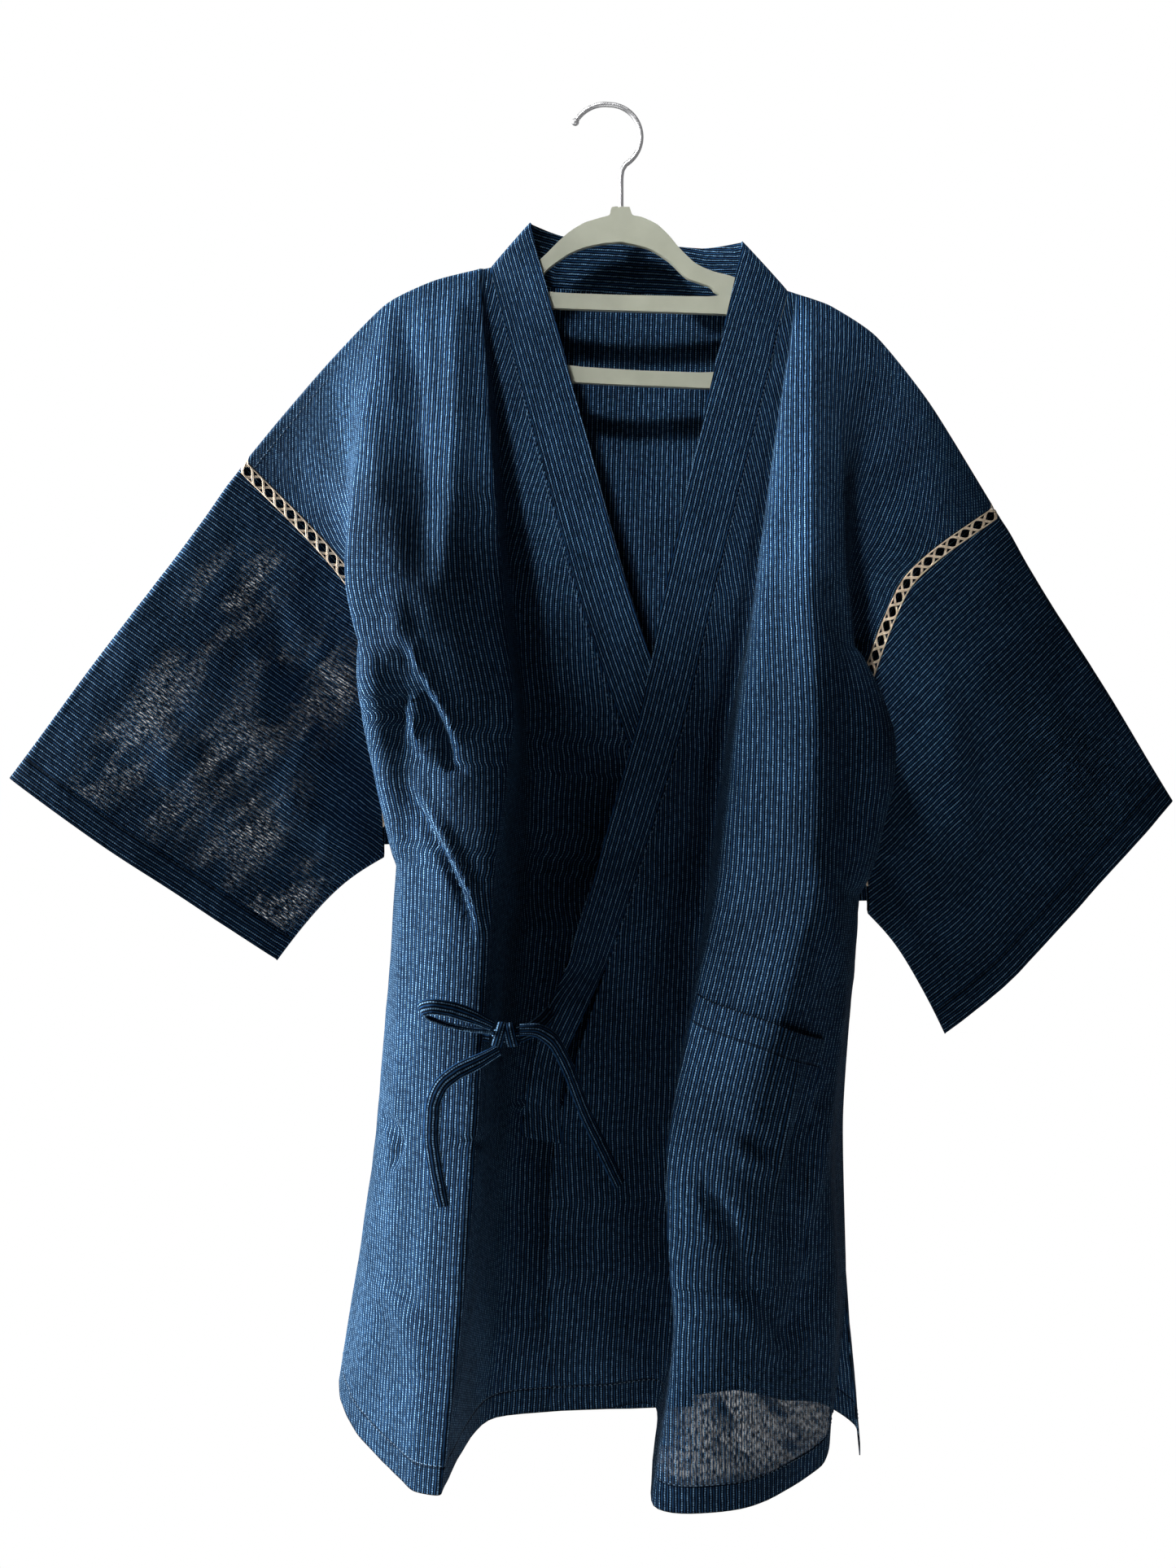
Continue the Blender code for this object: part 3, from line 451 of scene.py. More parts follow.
def match_shoulders(back, front_right, front_left):
    """Brings the back's top edge to the fronts' shoulder lines, fading out at the chest."""
    chest = row_of_station(1)
    fade = 1 - solid_rows(range(chest)) / solid_rows(chest)
    for front, columns in ((front_right, slice(0, NECK_FOLDS[0] * BACK_STEPS + 1)),
                           (front_left, slice(NECK_FOLDS[1] * BACK_STEPS, None))):
        line = front[np.argsort(front[:, 0, 0]), 0]
        shift = np.interp(back[columns, 0, 0], line[:, 0], line[:, 2]) - back[columns, 0, 2]
        back[columns, :chest, 2] += shift[:, None] * fade


def join_sides(front, back_column):
    """Gives a front and the back one side seam from the underarm to the hip."""
    hip = row_of_station(HIP_STATION) + 1
    side = front[-1]
    back_column[:hip, 0] = side[:hip, 0]
    back_column[:hip, 2] = side[:hip, 2]
    station = (np.arange(hip) - len(ROLL_ANGLES)) / STEPS_DOWN
    joined = np.clip((station - UNDERARM_STATION) / SEAM_CLOSES, 0, 1)
    seam_y = (side[:hip, 1] + back_column[:hip, 1]) / 2
    side[:hip, 1] += (seam_y - side[:hip, 1]) * joined
    back_column[:hip, 1] += (seam_y - back_column[:hip, 1]) * joined


def start_gap(panel_normal, direction, wall):
    """How far along direction the next piece starts, so that the seam keeps its gap."""
    lean = np.abs(np.sum(panel_normal * direction, axis=-1, keepdims=True))
    return SEAM_GAP + wall / 2 * lean


def open_side_seam(front, back, edge, inner):
    """Pulls the two panels apart by the seam's gap, each along its own cloth."""
    rows = slice(row_of_station(UNDERARM_STATION) + 1, None)
    front_inward = unit(front[-3] - front[-1])[rows]
    back_inward = unit(back[inner] - back[edge])[rows]
    across = unit(back_inward - front_inward)
    front_reach = start_gap(normals(front)[-1][rows], across, PANEL_WALL) - SEAM_GAP / 2
    back_reach = start_gap(normals(back)[edge][rows], across, PANEL_WALL) - SEAM_GAP / 2
    front[-1, rows] -= across * front_reach
    back[edge, rows] += across * back_reach


def crease_panel(panel, grid, outward, size, free_first):
    """Lays the creases and the small waves on a panel, leaving its sewn edges where they are."""
    out = normals(grid)
    if np.sum(out[..., 1]) * outward < 0:
        out = -out
    u = run_lengths(grid, 0)
    from_side = u[-1] - u
    if not free_first:
        from_side = np.minimum(from_side, u)
    hold = smooth(from_side / 14) * smooth(run_lengths(grid, 1) / 24)
    grid += out * ((relief(panel, grid) + waviness(grid, size)) * hold)[..., None]


@lru_cache(maxsize=None)
def body_grids():
    """The back and the two fronts, sewn along the shoulders and sides and then creased."""
    front_right = hang(FRONT_RIGHT, FRONT_STEPS, [-TOP_GAP] * len(FRONT_RIGHT))
    front_left = hang(FRONT_LEFT, FRONT_STEPS, [-TOP_GAP] * len(FRONT_LEFT))
    inside_neck = range(NECK_FOLDS[0] + 1, NECK_FOLDS[1])
    tops = [fold.shoulder[1] if i in inside_neck else TOP_GAP for i, fold in enumerate(BACK)]
    back = hang(BACK, BACK_STEPS, tops)
    match_shoulders(back, front_right, front_left)
    join_sides(front_right, back[0])
    join_sides(front_left, back[-1])
    open_side_seam(front_right, back, 0, 2)
    open_side_seam(front_left, back, -1, -3)
    crease_panel("front_right", front_right, -1, 0.35, True)
    crease_panel("front_left", front_left, -1, 0.35, True)
    crease_panel("back", back, 1, 0.4, False)
    return {"front_right": front_right, "front_left": front_left, "back": back}


def armhole_rows():
    return row_of_station(UNDERARM_STATION) + 1


def cuff_half(sleeve, shares, side):
    """The cuff's points on one side, front (-1) or back (+1), at shares of its length."""
    curve = spline(sleeve.cuff, 12)
    steps = arc_shares(curve)
    places = np.array([np.interp(shares, steps, curve[:, k]) for k in range(3)]).T
    places[:, 1] += side * CUFF_HALF_DEPTH * np.sin(math.pi * shares) ** CUFF_ROUNDNESS
    return places


def sleeve_half(sleeve, column, column_normals, side):
    """Where the lace meets the body and the sleeve, and the cuff, on one half of a sleeve."""
    rows = armhole_rows()
    column = column[:rows]
    cuff = cuff_half(sleeve, arc_shares(column) * CUFF_REACH, side)
    seam = unit(np.gradient(column, axis=0))
    outward = unit(cuff - column)
    places = np.arange(rows) - len(ROLL_ANGLES)
    square_share = np.clip(places / places[-1], 0, 1)[:, None]
    outward = unit(outward - square_share * seam * np.sum(outward * seam, axis=1, keepdims=True))
    gap = start_gap(column_normals[:rows], outward, PANEL_WALL) + BRAID_EASE
    start = column + outward * gap
    end = start + outward * BRAID_WIDTH
    return start, end, end + outward * SEAM_GAP, cuff


@lru_cache(maxsize=None)
def sleeve_halves(side):
    sleeve = SLEEVES[side]
    grids = body_grids()
    front = grids["front_" + side]
    back = grids["back"]
    edge = 0 if side == "right" else -1
    return (sleeve_half(sleeve, front[-1], normals(front)[-1], -1),
            sleeve_half(sleeve, back[edge], normals(back)[edge], 1))


def sleeve_grid(side):
    """A sleeve as a flattened tube from its lace to its cuff."""
    def closed_ring(front, back, drop):
        top = (front[0] + back[0]) / 2
        low = (front[-1] + back[-1]) / 2 + np.array([0.0, 0.0, -drop])
        return np.concatenate([[top], front[1:], [low], back[1:][::-1]])

    front, back = sleeve_halves(side)
    armhole = closed_ring(front[2], back[2], ARMHOLE_DROP)
    cuff = closed_ring(front[3], back[3], CUFF_DROP)
    half = solid_rows(range(len(front[2])))
    half = half / half[-1]
    shares = np.concatenate([half, [1.0], half[1:][::-1]])
    stations = []
    for s in np.linspace(0, 1, SLEEVE_STEPS + 1):
        ring = armhole * (1 - s) + cuff * s
        wave = np.sin(2 * math.pi * (SLEEVE_WAVES_ALONG * s + SLEEVE_WAVES_ROUND * shares))
        ring[:, 1] += SLEEVE_WAVE * math.sin(math.pi * s) * wave
        ring[:, 2] += UNDERARM_LIFT * math.sin(math.pi * s) * shares ** 3
        stations.append(ring)
    grid = np.stack(stations, axis=1)
    out = normals(grid, True)
    middle = grid.mean(axis=0, keepdims=True)
    if np.sum(out * (grid - middle)) < 0:
        out = -out
    fold_hold = smooth(np.sin(math.pi * shares) * 4)[:, None]
    end_hold = smooth(np.linspace(0, SLEEVE_STEPS / 5, SLEEVE_STEPS + 1))[None, :]
    height = relief("sleeve_" + side, grid) + waviness(grid, 0.5)
    grid += out * (height * fold_hold * end_hold)[..., None]
    return grid


def collar_free_edge(edge, end_row):
    """The free edge's points: a roll over the shoulder, then down the front."""
    x, y, z = edge.neck
    under_roll = (x, y, z - SHOULDER_ROLL)
    stations = spline([under_roll, edge.chest, edge.bust, edge.underarm, edge.tie], STEPS_DOWN)
    roll = []
    for angle in ROLL_ANGLES:
        turn = math.radians(angle)
        roll.append((x, -TOP_GAP + (y + TOP_GAP) * math.sin(turn),
                     z - SHOULDER_ROLL * (1 - math.cos(turn))))
    return np.concatenate([roll, stations])[:end_row + 1]


def across_band(seam, free, crown):
    """A folded band between its seam and its free edge, a little fuller in its middle."""
    shares = np.linspace(0, 1, COLLAR_STEPS)
    band = np.stack([seam * (1 - s) + free * s for s in shares])
    band[:, 1:, 1] -= crown * np.sin(math.pi * shares)[:, None] ** 0.5
    return band


def front_collar_grid(edge, front, end_station, tab=()):
    """The band from the front's edge to its own free edge, with a loose tab if it has one."""
    end_row = row_of_station(end_station)
    seam = front[0, :end_row + 1]
    free = collar_free_edge(edge, end_row)
    direction = unit(free - seam)
    gap = start_gap(normals(front)[0, :end_row + 1], direction, PANEL_WALL) + COLLAR_EASE
    seam = seam + direction * gap
    seam[0, 1] = -COLLAR_TOP_GAP
    free[0, 1] = -COLLAR_TOP_GAP
    if tab:
        joined = []
        for line, loose in ((seam, tab[0]), (free, tab[1])):
            last = STEPS_DOWN // SOLID_STEPS_DOWN
            below = spline([line[-1 - last], line[-1], *loose], TAB_STEPS)[TAB_STEPS + 1:]
            joined.append(np.concatenate([line, below]))
        seam, free = joined
    band = across_band(seam, free, COLLAR_CROWN)
    wave = np.sin(run_lengths(seam[:, None], 0)[:, 0] / 21) + 0.5 * np.sin(
        run_lengths(seam[:, None], 0)[:, 0] / 8.3)
    band[:, :, 1] -= 0.5 * np.linspace(0, 1, COLLAR_STEPS)[:, None] * wave * smooth(
        np.arange(len(seam)) / 30)
    if tab:
        turned = smooth(2 * np.arange(1, TAB_STEPS + 1) / TAB_STEPS)
        band[:, -TAB_STEPS:, 1] += TAB_TURN * np.linspace(0, 1, COLLAR_STEPS)[:, None] * turned
    return band


def back_collar_grid(back):
    """The standing band round the back of the neck."""
    first, last = (n * BACK_STEPS for n in NECK_FOLDS)
    seam = back[first:last + 1, 0]
    free = spline(BACK_COLLAR_TOP, (last - first) // (len(BACK_COLLAR_TOP) - 1))
    direction = unit(free - seam)
    gap = start_gap(normals(back)[first:last + 1, 0], direction, PANEL_WALL) + COLLAR_EASE
    seam = seam + direction * gap
    seam[[0, -1], 1] = COLLAR_TOP_GAP
    inner = smooth(3 * np.sin(math.pi * np.linspace(0, 1, len(seam))))[:, None]
    lap = seam + np.array([0.0, 1.6, -4.0]) * (0.1 + 0.9 * inner)
    return np.concatenate([[lap], across_band(seam, free, 0.0)])


def pocket_rows(columns):
    """The front's rows, whole or not, that each column of the pocket follows from its mouth down."""
    left, right, bottom = (len(ROLL_ANGLES) + n * STEPS_DOWN for n in (*POCKET_MOUTH, POCKET_STATIONS[1]))
    return [np.linspace(left + (right - left) * s, bottom, POCKET_ROWS) for s in np.linspace(0, 1, columns)]


def pocket_grid(front):
    """A patch made from the left front's own points, moved out, fullest at its mouth."""
    first, last = (int(round(n * FRONT_STEPS)) for n in POCKET_FOLDS)
    lines = front[first:last + 1]
    rows = pocket_rows(len(lines))
    places = np.arange(lines.shape[1])

    def pick(table):
        return np.array([[np.interp(row, places, line[:, k]) for k in range(3)]
                         for row, line in zip(rows, table)]).transpose(0, 2, 1)

    patch = pick(lines)
    out = unit(pick(normals(front)[first:last + 1]))
    if out[..., 1].mean() > 0:
        out = -out
    across = np.linspace(0, 1, patch.shape[0])[:, None]
    down = np.linspace(0, 1, patch.shape[1])[None, :]
    lift = SOLID_PANEL_WALL / 2 + SOLID_POCKET_WALL / 2
    belly = POCKET_BELLY * np.sin(math.pi * across) * (1 - down) ** POCKET_FALL
    sewn = smooth(np.sin(math.pi * across) * 5) * smooth((1 - down) * 9)
    dents = np.maximum(relief("pocket", patch), -POCKET_BELLY / 2) * sewn
    patch += out * (lift + belly + dents)[..., None]
    return patch


def sheerness(panel, grid):
    """How much light comes through each point of a panel, before its weave breaks it up."""
    seen = as_seen(grid)
    amount = np.zeros(grid.shape[:2])
    for patch in SHEER:
        if patch.panel != panel:
            continue
        turn = math.radians(patch.turn)
        dx = seen[..., 0] - patch.x
        dz = seen[..., 1] - patch.z
        across = (dx * math.cos(turn) + dz * math.sin(turn)) / patch.across
        down = (dz * math.cos(turn) - dx * math.sin(turn)) / patch.down
        amount = np.maximum(amount, patch.light * smooth(1.6 - 1.2 * np.sqrt(across ** 2 + down ** 2)))
    return amount


def sheet_object(name, grid, u, v, wall, material, ring=False, edge=None, sheer=None):
    """A grid of millimetre points as a thin closed wall, with its weave laid out in u and v."""
    across, down = grid.shape[:2]
    out = normals(grid, ring)
    points = np.concatenate([(grid + out * wall / 2).reshape(-1, 3), (grid - out * wall / 2).reshape(-1, 3)])
    under = across * down
    i = np.arange(across if ring else across - 1)
    j = (i + 1) % across
    k = np.arange(down - 1)
    a = (i[:, None] * down + k).ravel()
    b = (j[:, None] * down + k).ravel()
    top = np.stack([a, b, b + 1, a + 1], axis=1)
    quads = [top, under + top[:, ::-1]]
    for row in (0, down - 1):
        a, b = i * down + row, j * down + row
        strip = np.stack([a, b, under + b, under + a], axis=1)
        quads.append(strip[:, ::-1] if row == 0 else strip)
    if not ring:
        for column in (0, across - 1):
            a = column * down + k
            strip = np.stack([a, a + 1, under + a + 1, under + a], axis=1)
            quads.append(strip if column == 0 else strip[:, ::-1])
    quads = np.concatenate(quads)
    mesh = bpy.data.meshes.new(name)
    mesh.from_pydata((points * MM).tolist(), [], quads.tolist())
    work = bmesh.new()
    work.from_mesh(mesh)
    bmesh.ops.recalc_face_normals(work, faces=work.faces)
    if work.calc_volume(signed=True) < 0:
        bmesh.ops.reverse_faces(work, faces=work.faces)
    work.to_mesh(mesh)
    work.free()
    flat = np.tile(np.stack([u, v], axis=-1).reshape(-1, 2), (2, 1)) * MM
    loops = np.zeros(len(mesh.loops), dtype=np.int64)
    mesh.loops.foreach_get("vertex_index", loops)
    layer = mesh.uv_layers.new(name="weave")
    layer.data.foreach_set("uv", flat[loops].astype(np.float32).ravel())
    if ring:
        close_ring_uv(mesh, layer, flat, loops, across, down, under)
    for title, values in (("edge", edge), ("sheer", sheer)):
        if values is None:
            values = np.full(grid.shape[:2], 0.0 if title == "sheer" else 1000.0)
        scale = MM if title == "edge" else 1.0
        data = mesh.attributes.new(title, "FLOAT", "POINT").data
        data.foreach_set("value", (np.tile(values.ravel(), 2) * scale).astype(np.float32))
    mesh.shade_smooth()
    mesh.set_sharp_from_angle(angle=math.radians(62))
    thing = bpy.data.objects.new(name, mesh)
    bpy.context.scene.collection.objects.link(thing)
    thing.data.materials.append(material)
    return thing


def close_ring_uv(mesh, layer, flat, loops, across, down, under):
    """Carries the weave on over the column where a tube's grid meets itself."""
    girth = float(flat[:under, 1].reshape(across, down)[-1].max())
    faces = np.zeros(len(mesh.polygons), dtype=np.int64)
    mesh.polygons.foreach_get("loop_start", faces)
    uv = np.zeros(len(loops) * 2, dtype=np.float32)
    layer.data.foreach_get("uv", uv)
    uv = uv.reshape(-1, 2)
    columns = (loops % under) // down
    for start in faces:
        corner = slice(start, start + 4)
        own = columns[corner]
        if own.min() == 0 and own.max() == across - 1:
            wrapped = np.where(own == 0)[0] + start
            uv[wrapped, 1] = uv[corner, 1].max() + girth / across
    layer.data.foreach_set("uv", uv.ravel())


def new_material(name):
    material = bpy.data.materials.new(name)
    material.use_nodes = True
    tree = material.node_tree
    return material, tree, tree.nodes["Principled BSDF"]


def add_node(tree, kind, **settings):
    """A node with its properties set, and its inputs fed from values or other nodes' outputs."""
    node = tree.nodes.new(kind)
    feeds = settings.pop("feeds", {})
    for name, value in settings.items():
        setattr(node, name, value)
    for key, value in feeds.items():
        if isinstance(value, bpy.types.NodeSocket):
            tree.links.new(value, node.inputs[key])
        else:
            node.inputs[key].default_value = value
    return node


def sum_up(tree, operation, *values, clamp=False):
    """One Math node's output."""
    feeds = dict(enumerate(values))
    return add_node(tree, "ShaderNodeMath", operation=operation, use_clamp=clamp, feeds=feeds).outputs[0]


def noise(tree, vector, scale, detail=2.0, roughness=0.5):
    feeds = {"Vector": vector, "Scale": scale, "Detail": detail, "Roughness": roughness}
    return add_node(tree, "ShaderNodeTexNoise", feeds=feeds).outputs["Fac"]


def blend_colours(tree, share, first, second, mode="MIX"):
    node = add_node(tree, "ShaderNodeMix", data_type="RGBA", blend_type=mode)
    for key, value in ((0, share), (6, first), (7, second)):
        if isinstance(value, bpy.types.NodeSocket):
            tree.links.new(value, node.inputs[key])
        else:
            node.inputs[key].default_value = value
    return node.outputs[2]


def soft_range(tree, value, low, high, to_low=0.0, to_high=1.0):
    feeds = {0: value, 1: low, 2: high, 3: to_low, 4: to_high}
    node = add_node(tree, "ShaderNodeMapRange", interpolation_type="SMOOTHSTEP", feeds=feeds)
    return node.outputs[0]


def shader_group(name, inputs, outputs):
    """An empty shader node group with its named sockets."""
    tree = bpy.data.node_groups.new(name, "ShaderNodeTree")
    for title, kind, value in inputs:
        socket = tree.interface.new_socket(title, in_out="INPUT", socket_type=kind)
        if value is not None:
            socket.default_value = value
    for title, kind in outputs:
        tree.interface.new_socket(title, in_out="OUTPUT", socket_type=kind)
    return tree, tree.nodes.new("NodeGroupInput").outputs, tree.nodes.new("NodeGroupOutput").inputs


@lru_cache(maxsize=None)
def crinkled_stripe_group():
    """Crinkled striped cotton: a plain line and a dotted line in each repeat on a dark ground."""
    tree, given, wanted = shader_group(
        "crinkled_stripe",
        (("Weave", "NodeSocketVector", None), ("Pitch", "NodeSocketFloat", 0.0036),
         ("Dot Pitch", "NodeSocketFloat", 0.0014), ("Wander", "NodeSocketFloat", 0.0003),
         ("Ground", "NodeSocketColor", (0.01, 0.026, 0.062, 1)),
         ("Line", "NodeSocketColor", (0.085, 0.19, 0.34, 1)),
         ("Dots", "NodeSocketColor", (0.42, 0.50, 0.60, 1))),
        (("Color", "NodeSocketColor"), ("Height", "NodeSocketFloat"), ("Threads", "NodeSocketFloat")))
    split = add_node(tree, "ShaderNodeSeparateXYZ", feeds={0: given["Weave"]})
    u, v = split.outputs[0], split.outputs[1]
    crinkle_at = add_node(tree, "ShaderNodeCombineXYZ",
                          feeds={0: sum_up(tree, "MULTIPLY", u, 190.0), 1: sum_up(tree, "MULTIPLY", v, 150.0)})
    crinkle = noise(tree, crinkle_at.outputs[0], 1.0, 3.0)
    swing = sum_up(tree, "MULTIPLY", sum_up(tree, "SUBTRACT", crinkle, 0.5), given["Wander"])
    swing = sum_up(tree, "MULTIPLY", swing, 4.0)
    phase = sum_up(tree, "FRACT", sum_up(tree, "DIVIDE", sum_up(tree, "ADD", u, swing), given["Pitch"]))

    def line_at(centre, half_width):
        away = sum_up(tree, "ABSOLUTE", sum_up(tree, "SUBTRACT", phase, centre))
        return soft_range(tree, away, half_width, half_width * 0.45)

    plain = line_at(0.25, 0.17)
    dotted = line_at(0.75, 0.15)
    along = sum_up(tree, "FRACT", sum_up(tree, "DIVIDE", v, given["Dot Pitch"]))
    dash = soft_range(tree, sum_up(tree, "ABSOLUTE", sum_up(tree, "SUBTRACT", along, 0.5)), 0.42, 0.22)
    fleck_at = add_node(tree, "ShaderNodeCombineXYZ",
                        feeds={0: sum_up(tree, "MULTIPLY", u, 260.0), 1: sum_up(tree, "MULTIPLY", v, 330.0)})
    fleck = soft_range(tree, noise(tree, fleck_at.outputs[0], 1.0, 2.0), 0.35, 0.62)
    dots = sum_up(tree, "MULTIPLY", sum_up(tree, "MULTIPLY", dotted, dash),
                  sum_up(tree, "MULTIPLY_ADD", fleck, 0.7, 0.3))
    slow_at = add_node(tree, "ShaderNodeCombineXYZ",
                       feeds={0: sum_up(tree, "MULTIPLY", u, 30.0), 1: sum_up(tree, "MULTIPLY", v, 20.0)})
    slow = noise(tree, slow_at.outputs[0], 1.0, 3.0)
    line_share = sum_up(tree, "MULTIPLY", plain, sum_up(tree, "MULTIPLY_ADD", fleck, 0.45, 0.55))
    with_line = blend_colours(tree, line_share, given["Ground"], given["Line"])
    under_dots = sum_up(tree, "MULTIPLY", dotted, 0.55)
    with_line = blend_colours(tree, under_dots, with_line, given["Line"])
    colour = blend_colours(tree, dots, with_line, given["Dots"])
    shade = soft_range(tree, slow, 0.3, 0.7, 0.82, 1.15)
    colour = blend_colours(tree, 1.0, colour, add_node(
        tree, "ShaderNodeCombineColor", feeds={0: shade, 1: shade, 2: shade}).outputs[0], "MULTIPLY")
    tree.links.new(colour, wanted["Color"])
    ridges = sum_up(tree, "MAXIMUM", plain, sum_up(tree, "MULTIPLY", dotted, 0.8))
    height = sum_up(tree, "MULTIPLY_ADD", ridges, 0.35, sum_up(tree, "MULTIPLY", crinkle, 1.5))
    tree.links.new(height, wanted["Height"])
    tree.links.new(sum_up(tree, "MAXIMUM", plain, dotted), wanted["Threads"])
    return tree


def place_group(tree, group, feeds):
    node = add_node(tree, "ShaderNodeGroup", node_tree=group)
    for key, value in feeds.items():
        if isinstance(value, bpy.types.NodeSocket):
            tree.links.new(value, node.inputs[key])
        else:
            node.inputs[key].default_value = value
    return node.outputs


@lru_cache(maxsize=None)
def cotton_material(kind):
    """The striped cotton: kind is panel, with hems and open places, or band, folded double."""
    settings = bpy.context.scene.jinbei_cloth
    material, tree, shader = new_material("striped_cotton_" + kind)
    weave = add_node(tree, "ShaderNodeUVMap", uv_map="weave").outputs[0]
    stripe = place_group(tree, crinkled_stripe_group(), {
        "Weave": weave, "Pitch": settings.stripe_pitch, "Dot Pitch": settings.dot_pitch,
        "Wander": settings.wander, "Ground": (*settings.ground, 1), "Line": (*settings.line, 1),
        "Dots": (*settings.dots, 1)})
    colour, height = stripe["Color"], stripe["Height"]
    if kind == "panel":
        edge = add_node(tree, "ShaderNodeAttribute", attribute_name="edge").outputs["Fac"]
        away = sum_up(tree, "ABSOLUTE", sum_up(tree, "SUBTRACT", edge, settings.hem_depth))
        stitched = soft_range(tree, away, 0.0012, 0.0003)
        doubled = soft_range(tree, edge, settings.hem_depth + 0.0004, settings.hem_depth - 0.0004)
        colour = blend_colours(tree, sum_up(tree, "MULTIPLY", stitched, 0.6), colour, (0.001, 0.0022, 0.005, 1))
        hem_tone = soft_range(tree, doubled, 0.0, 1.0, 1.0, 0.86)
        colour = blend_colours(tree, 1.0, colour, add_node(
            tree, "ShaderNodeCombineColor", feeds={0: hem_tone, 1: hem_tone, 2: hem_tone}).outputs[0],
            "MULTIPLY")
        # Painted shadow: the cloth is darkened to a fifth within about a millimetre of its edge. This stands in
        # for the shade in the pocket's mouth and at the edges of the hems and cuffs.
        edge_shadow = soft_range(tree, edge, 0.0004, 0.0011, 0.2, 1.0)
        colour = blend_colours(tree, 1.0, colour, add_node(
            tree, "ShaderNodeCombineColor", feeds={0: edge_shadow, 1: edge_shadow, 2: edge_shadow}).outputs[0], "MULTIPLY")
        height = sum_up(tree, "ADD", height, sum_up(tree, "MULTIPLY", doubled, 0.5))
        height = sum_up(tree, "SUBTRACT", height, sum_up(tree, "MULTIPLY", stitched, 0.9))
        sheer = add_node(tree, "ShaderNodeAttribute", attribute_name="sheer").outputs["Fac"]
        place = add_node(tree, "ShaderNodeTexCoord").outputs["Object"]
        both_sides = add_node(tree, "ShaderNodeVectorMath", operation="ABSOLUTE", feeds={0: place})
        along_arm = add_node(tree, "ShaderNodeMapping", vector_type="TEXTURE", feeds={
            "Vector": both_sides.outputs[0], "Rotation": (0, math.radians(-50), 0),
            "Scale": (0.06, 0.25, 0.020)})
        cloud = noise(tree, along_arm.outputs[0], 1.0, 5.0, 0.62)
        streak_at = add_node(tree, "ShaderNodeVectorMath", operation="MULTIPLY",
                             feeds={0: weave, 1: (800.0, 260.0, 1.0)})
        streak = noise(tree, streak_at.outputs[0], 1.0, 3.0, 0.6)
        cloudy = soft_range(tree, sheer, 0.42, 0.6)
        clouds = soft_range(tree, cloud, 0.34, 0.54)
        clouds = sum_up(tree, "MULTIPLY_ADD", cloudy, sum_up(tree, "SUBTRACT", clouds, 1.0), 1.0)
        open_share = sum_up(tree, "MULTIPLY", clouds, soft_range(tree, streak, 0.36, 0.60, 0.10, 1.0))
        open_share = sum_up(tree, "MULTIPLY", open_share, sheer)
        single = sum_up(tree, "SUBTRACT", 1.0, doubled)
        between = sum_up(tree, "MULTIPLY_ADD", stripe["Threads"], -0.7, 1.0)
        see_through = sum_up(tree, "MULTIPLY", sum_up(tree, "MULTIPLY", open_share, single), between)
        see_through = sum_up(tree, "MULTIPLY", see_through, settings.openness)
        tree.links.new(sum_up(tree, "SUBTRACT", 1.0, see_through, clamp=True), shader.inputs["Alpha"])
    bump = add_node(tree, "ShaderNodeBump",
                    feeds={"Strength": 0.9, "Distance": settings.crinkle_depth, "Height": height})
    tree.links.new(bump.outputs[0], shader.inputs["Normal"])
    tree.links.new(colour, shader.inputs["Base Color"])
    shader.inputs["Roughness"].default_value = 0.88
    shader.inputs["Specular IOR Level"].default_value = 0.02
    return material


@lru_cache(maxsize=None)
def lace_material():
    """Cream corded cotton with a fine twist."""
    settings = bpy.context.scene.jinbei_lace
    material, tree, shader = new_material("cream_lace")
    place = add_node(tree, "ShaderNodeTexCoord").outputs["Object"]
    tone = noise(tree, place, 260.0, 3.0)
    twist = add_node(tree, "ShaderNodeTexWave", wave_type="BANDS", bands_direction="DIAGONAL",
                     feeds={"Vector": place, "Scale": 420.0, "Distortion": 2.0, "Detail": 1.0})
    colour = blend_colours(tree, soft_range(tree, tone, 0.35, 0.7), (*settings.shade, 1), (*settings.colour, 1))
    tree.links.new(colour, shader.inputs["Base Color"])
    bump = add_node(tree, "ShaderNodeBump",
                    feeds={"Strength": 0.7, "Distance": 0.0003, "Height": twist.outputs["Fac"]})
    tree.links.new(bump.outputs[0], shader.inputs["Normal"])
    shader.inputs["Roughness"].default_value = 0.75
    shader.inputs["Sheen Weight"].default_value = 0.15
    return material


@lru_cache(maxsize=None)
def stitch_material():
    material, tree, shader = new_material("stitch_thread")
    place = add_node(tree, "ShaderNodeTexCoord").outputs["Object"]
    colour = blend_colours(tree, noise(tree, place, 300.0), (0.02, 0.045, 0.08, 1), (0.07, 0.13, 0.2, 1))
    tree.links.new(colour, shader.inputs["Base Color"])
    shader.inputs["Roughness"].default_value = 0.7
    return material


@lru_cache(maxsize=None)
def plastic_material():
    """Satin sage plastic with a faint mould grain and a little dust in its tone."""
    settings = bpy.context.scene.jinbei_hanger
    material, tree, shader = new_material("hanger_plastic")
    place = add_node(tree, "ShaderNodeTexCoord").outputs["Object"]
    tone = noise(tree, place, 35.0, 4.0)
    colour = blend_colours(tree, soft_range(tree, tone, 0.3, 0.7), (*settings.shade, 1), (*settings.colour, 1))
    tree.links.new(colour, shader.inputs["Base Color"])
    rough = soft_range(tree, noise(tree, place, 60.0, 3.0), 0.3, 0.7, 0.34, 0.46)
    tree.links.new(rough, shader.inputs["Roughness"])
    bump = add_node(tree, "ShaderNodeBump",
                    feeds={"Strength": 0.25, "Distance": 0.0001, "Height": noise(tree, place, 1400.0)})
    tree.links.new(bump.outputs[0], shader.inputs["Normal"])
    shader.inputs["Coat Weight"].default_value = 0.12
    shader.inputs["Coat Roughness"].default_value = 0.3
    return material


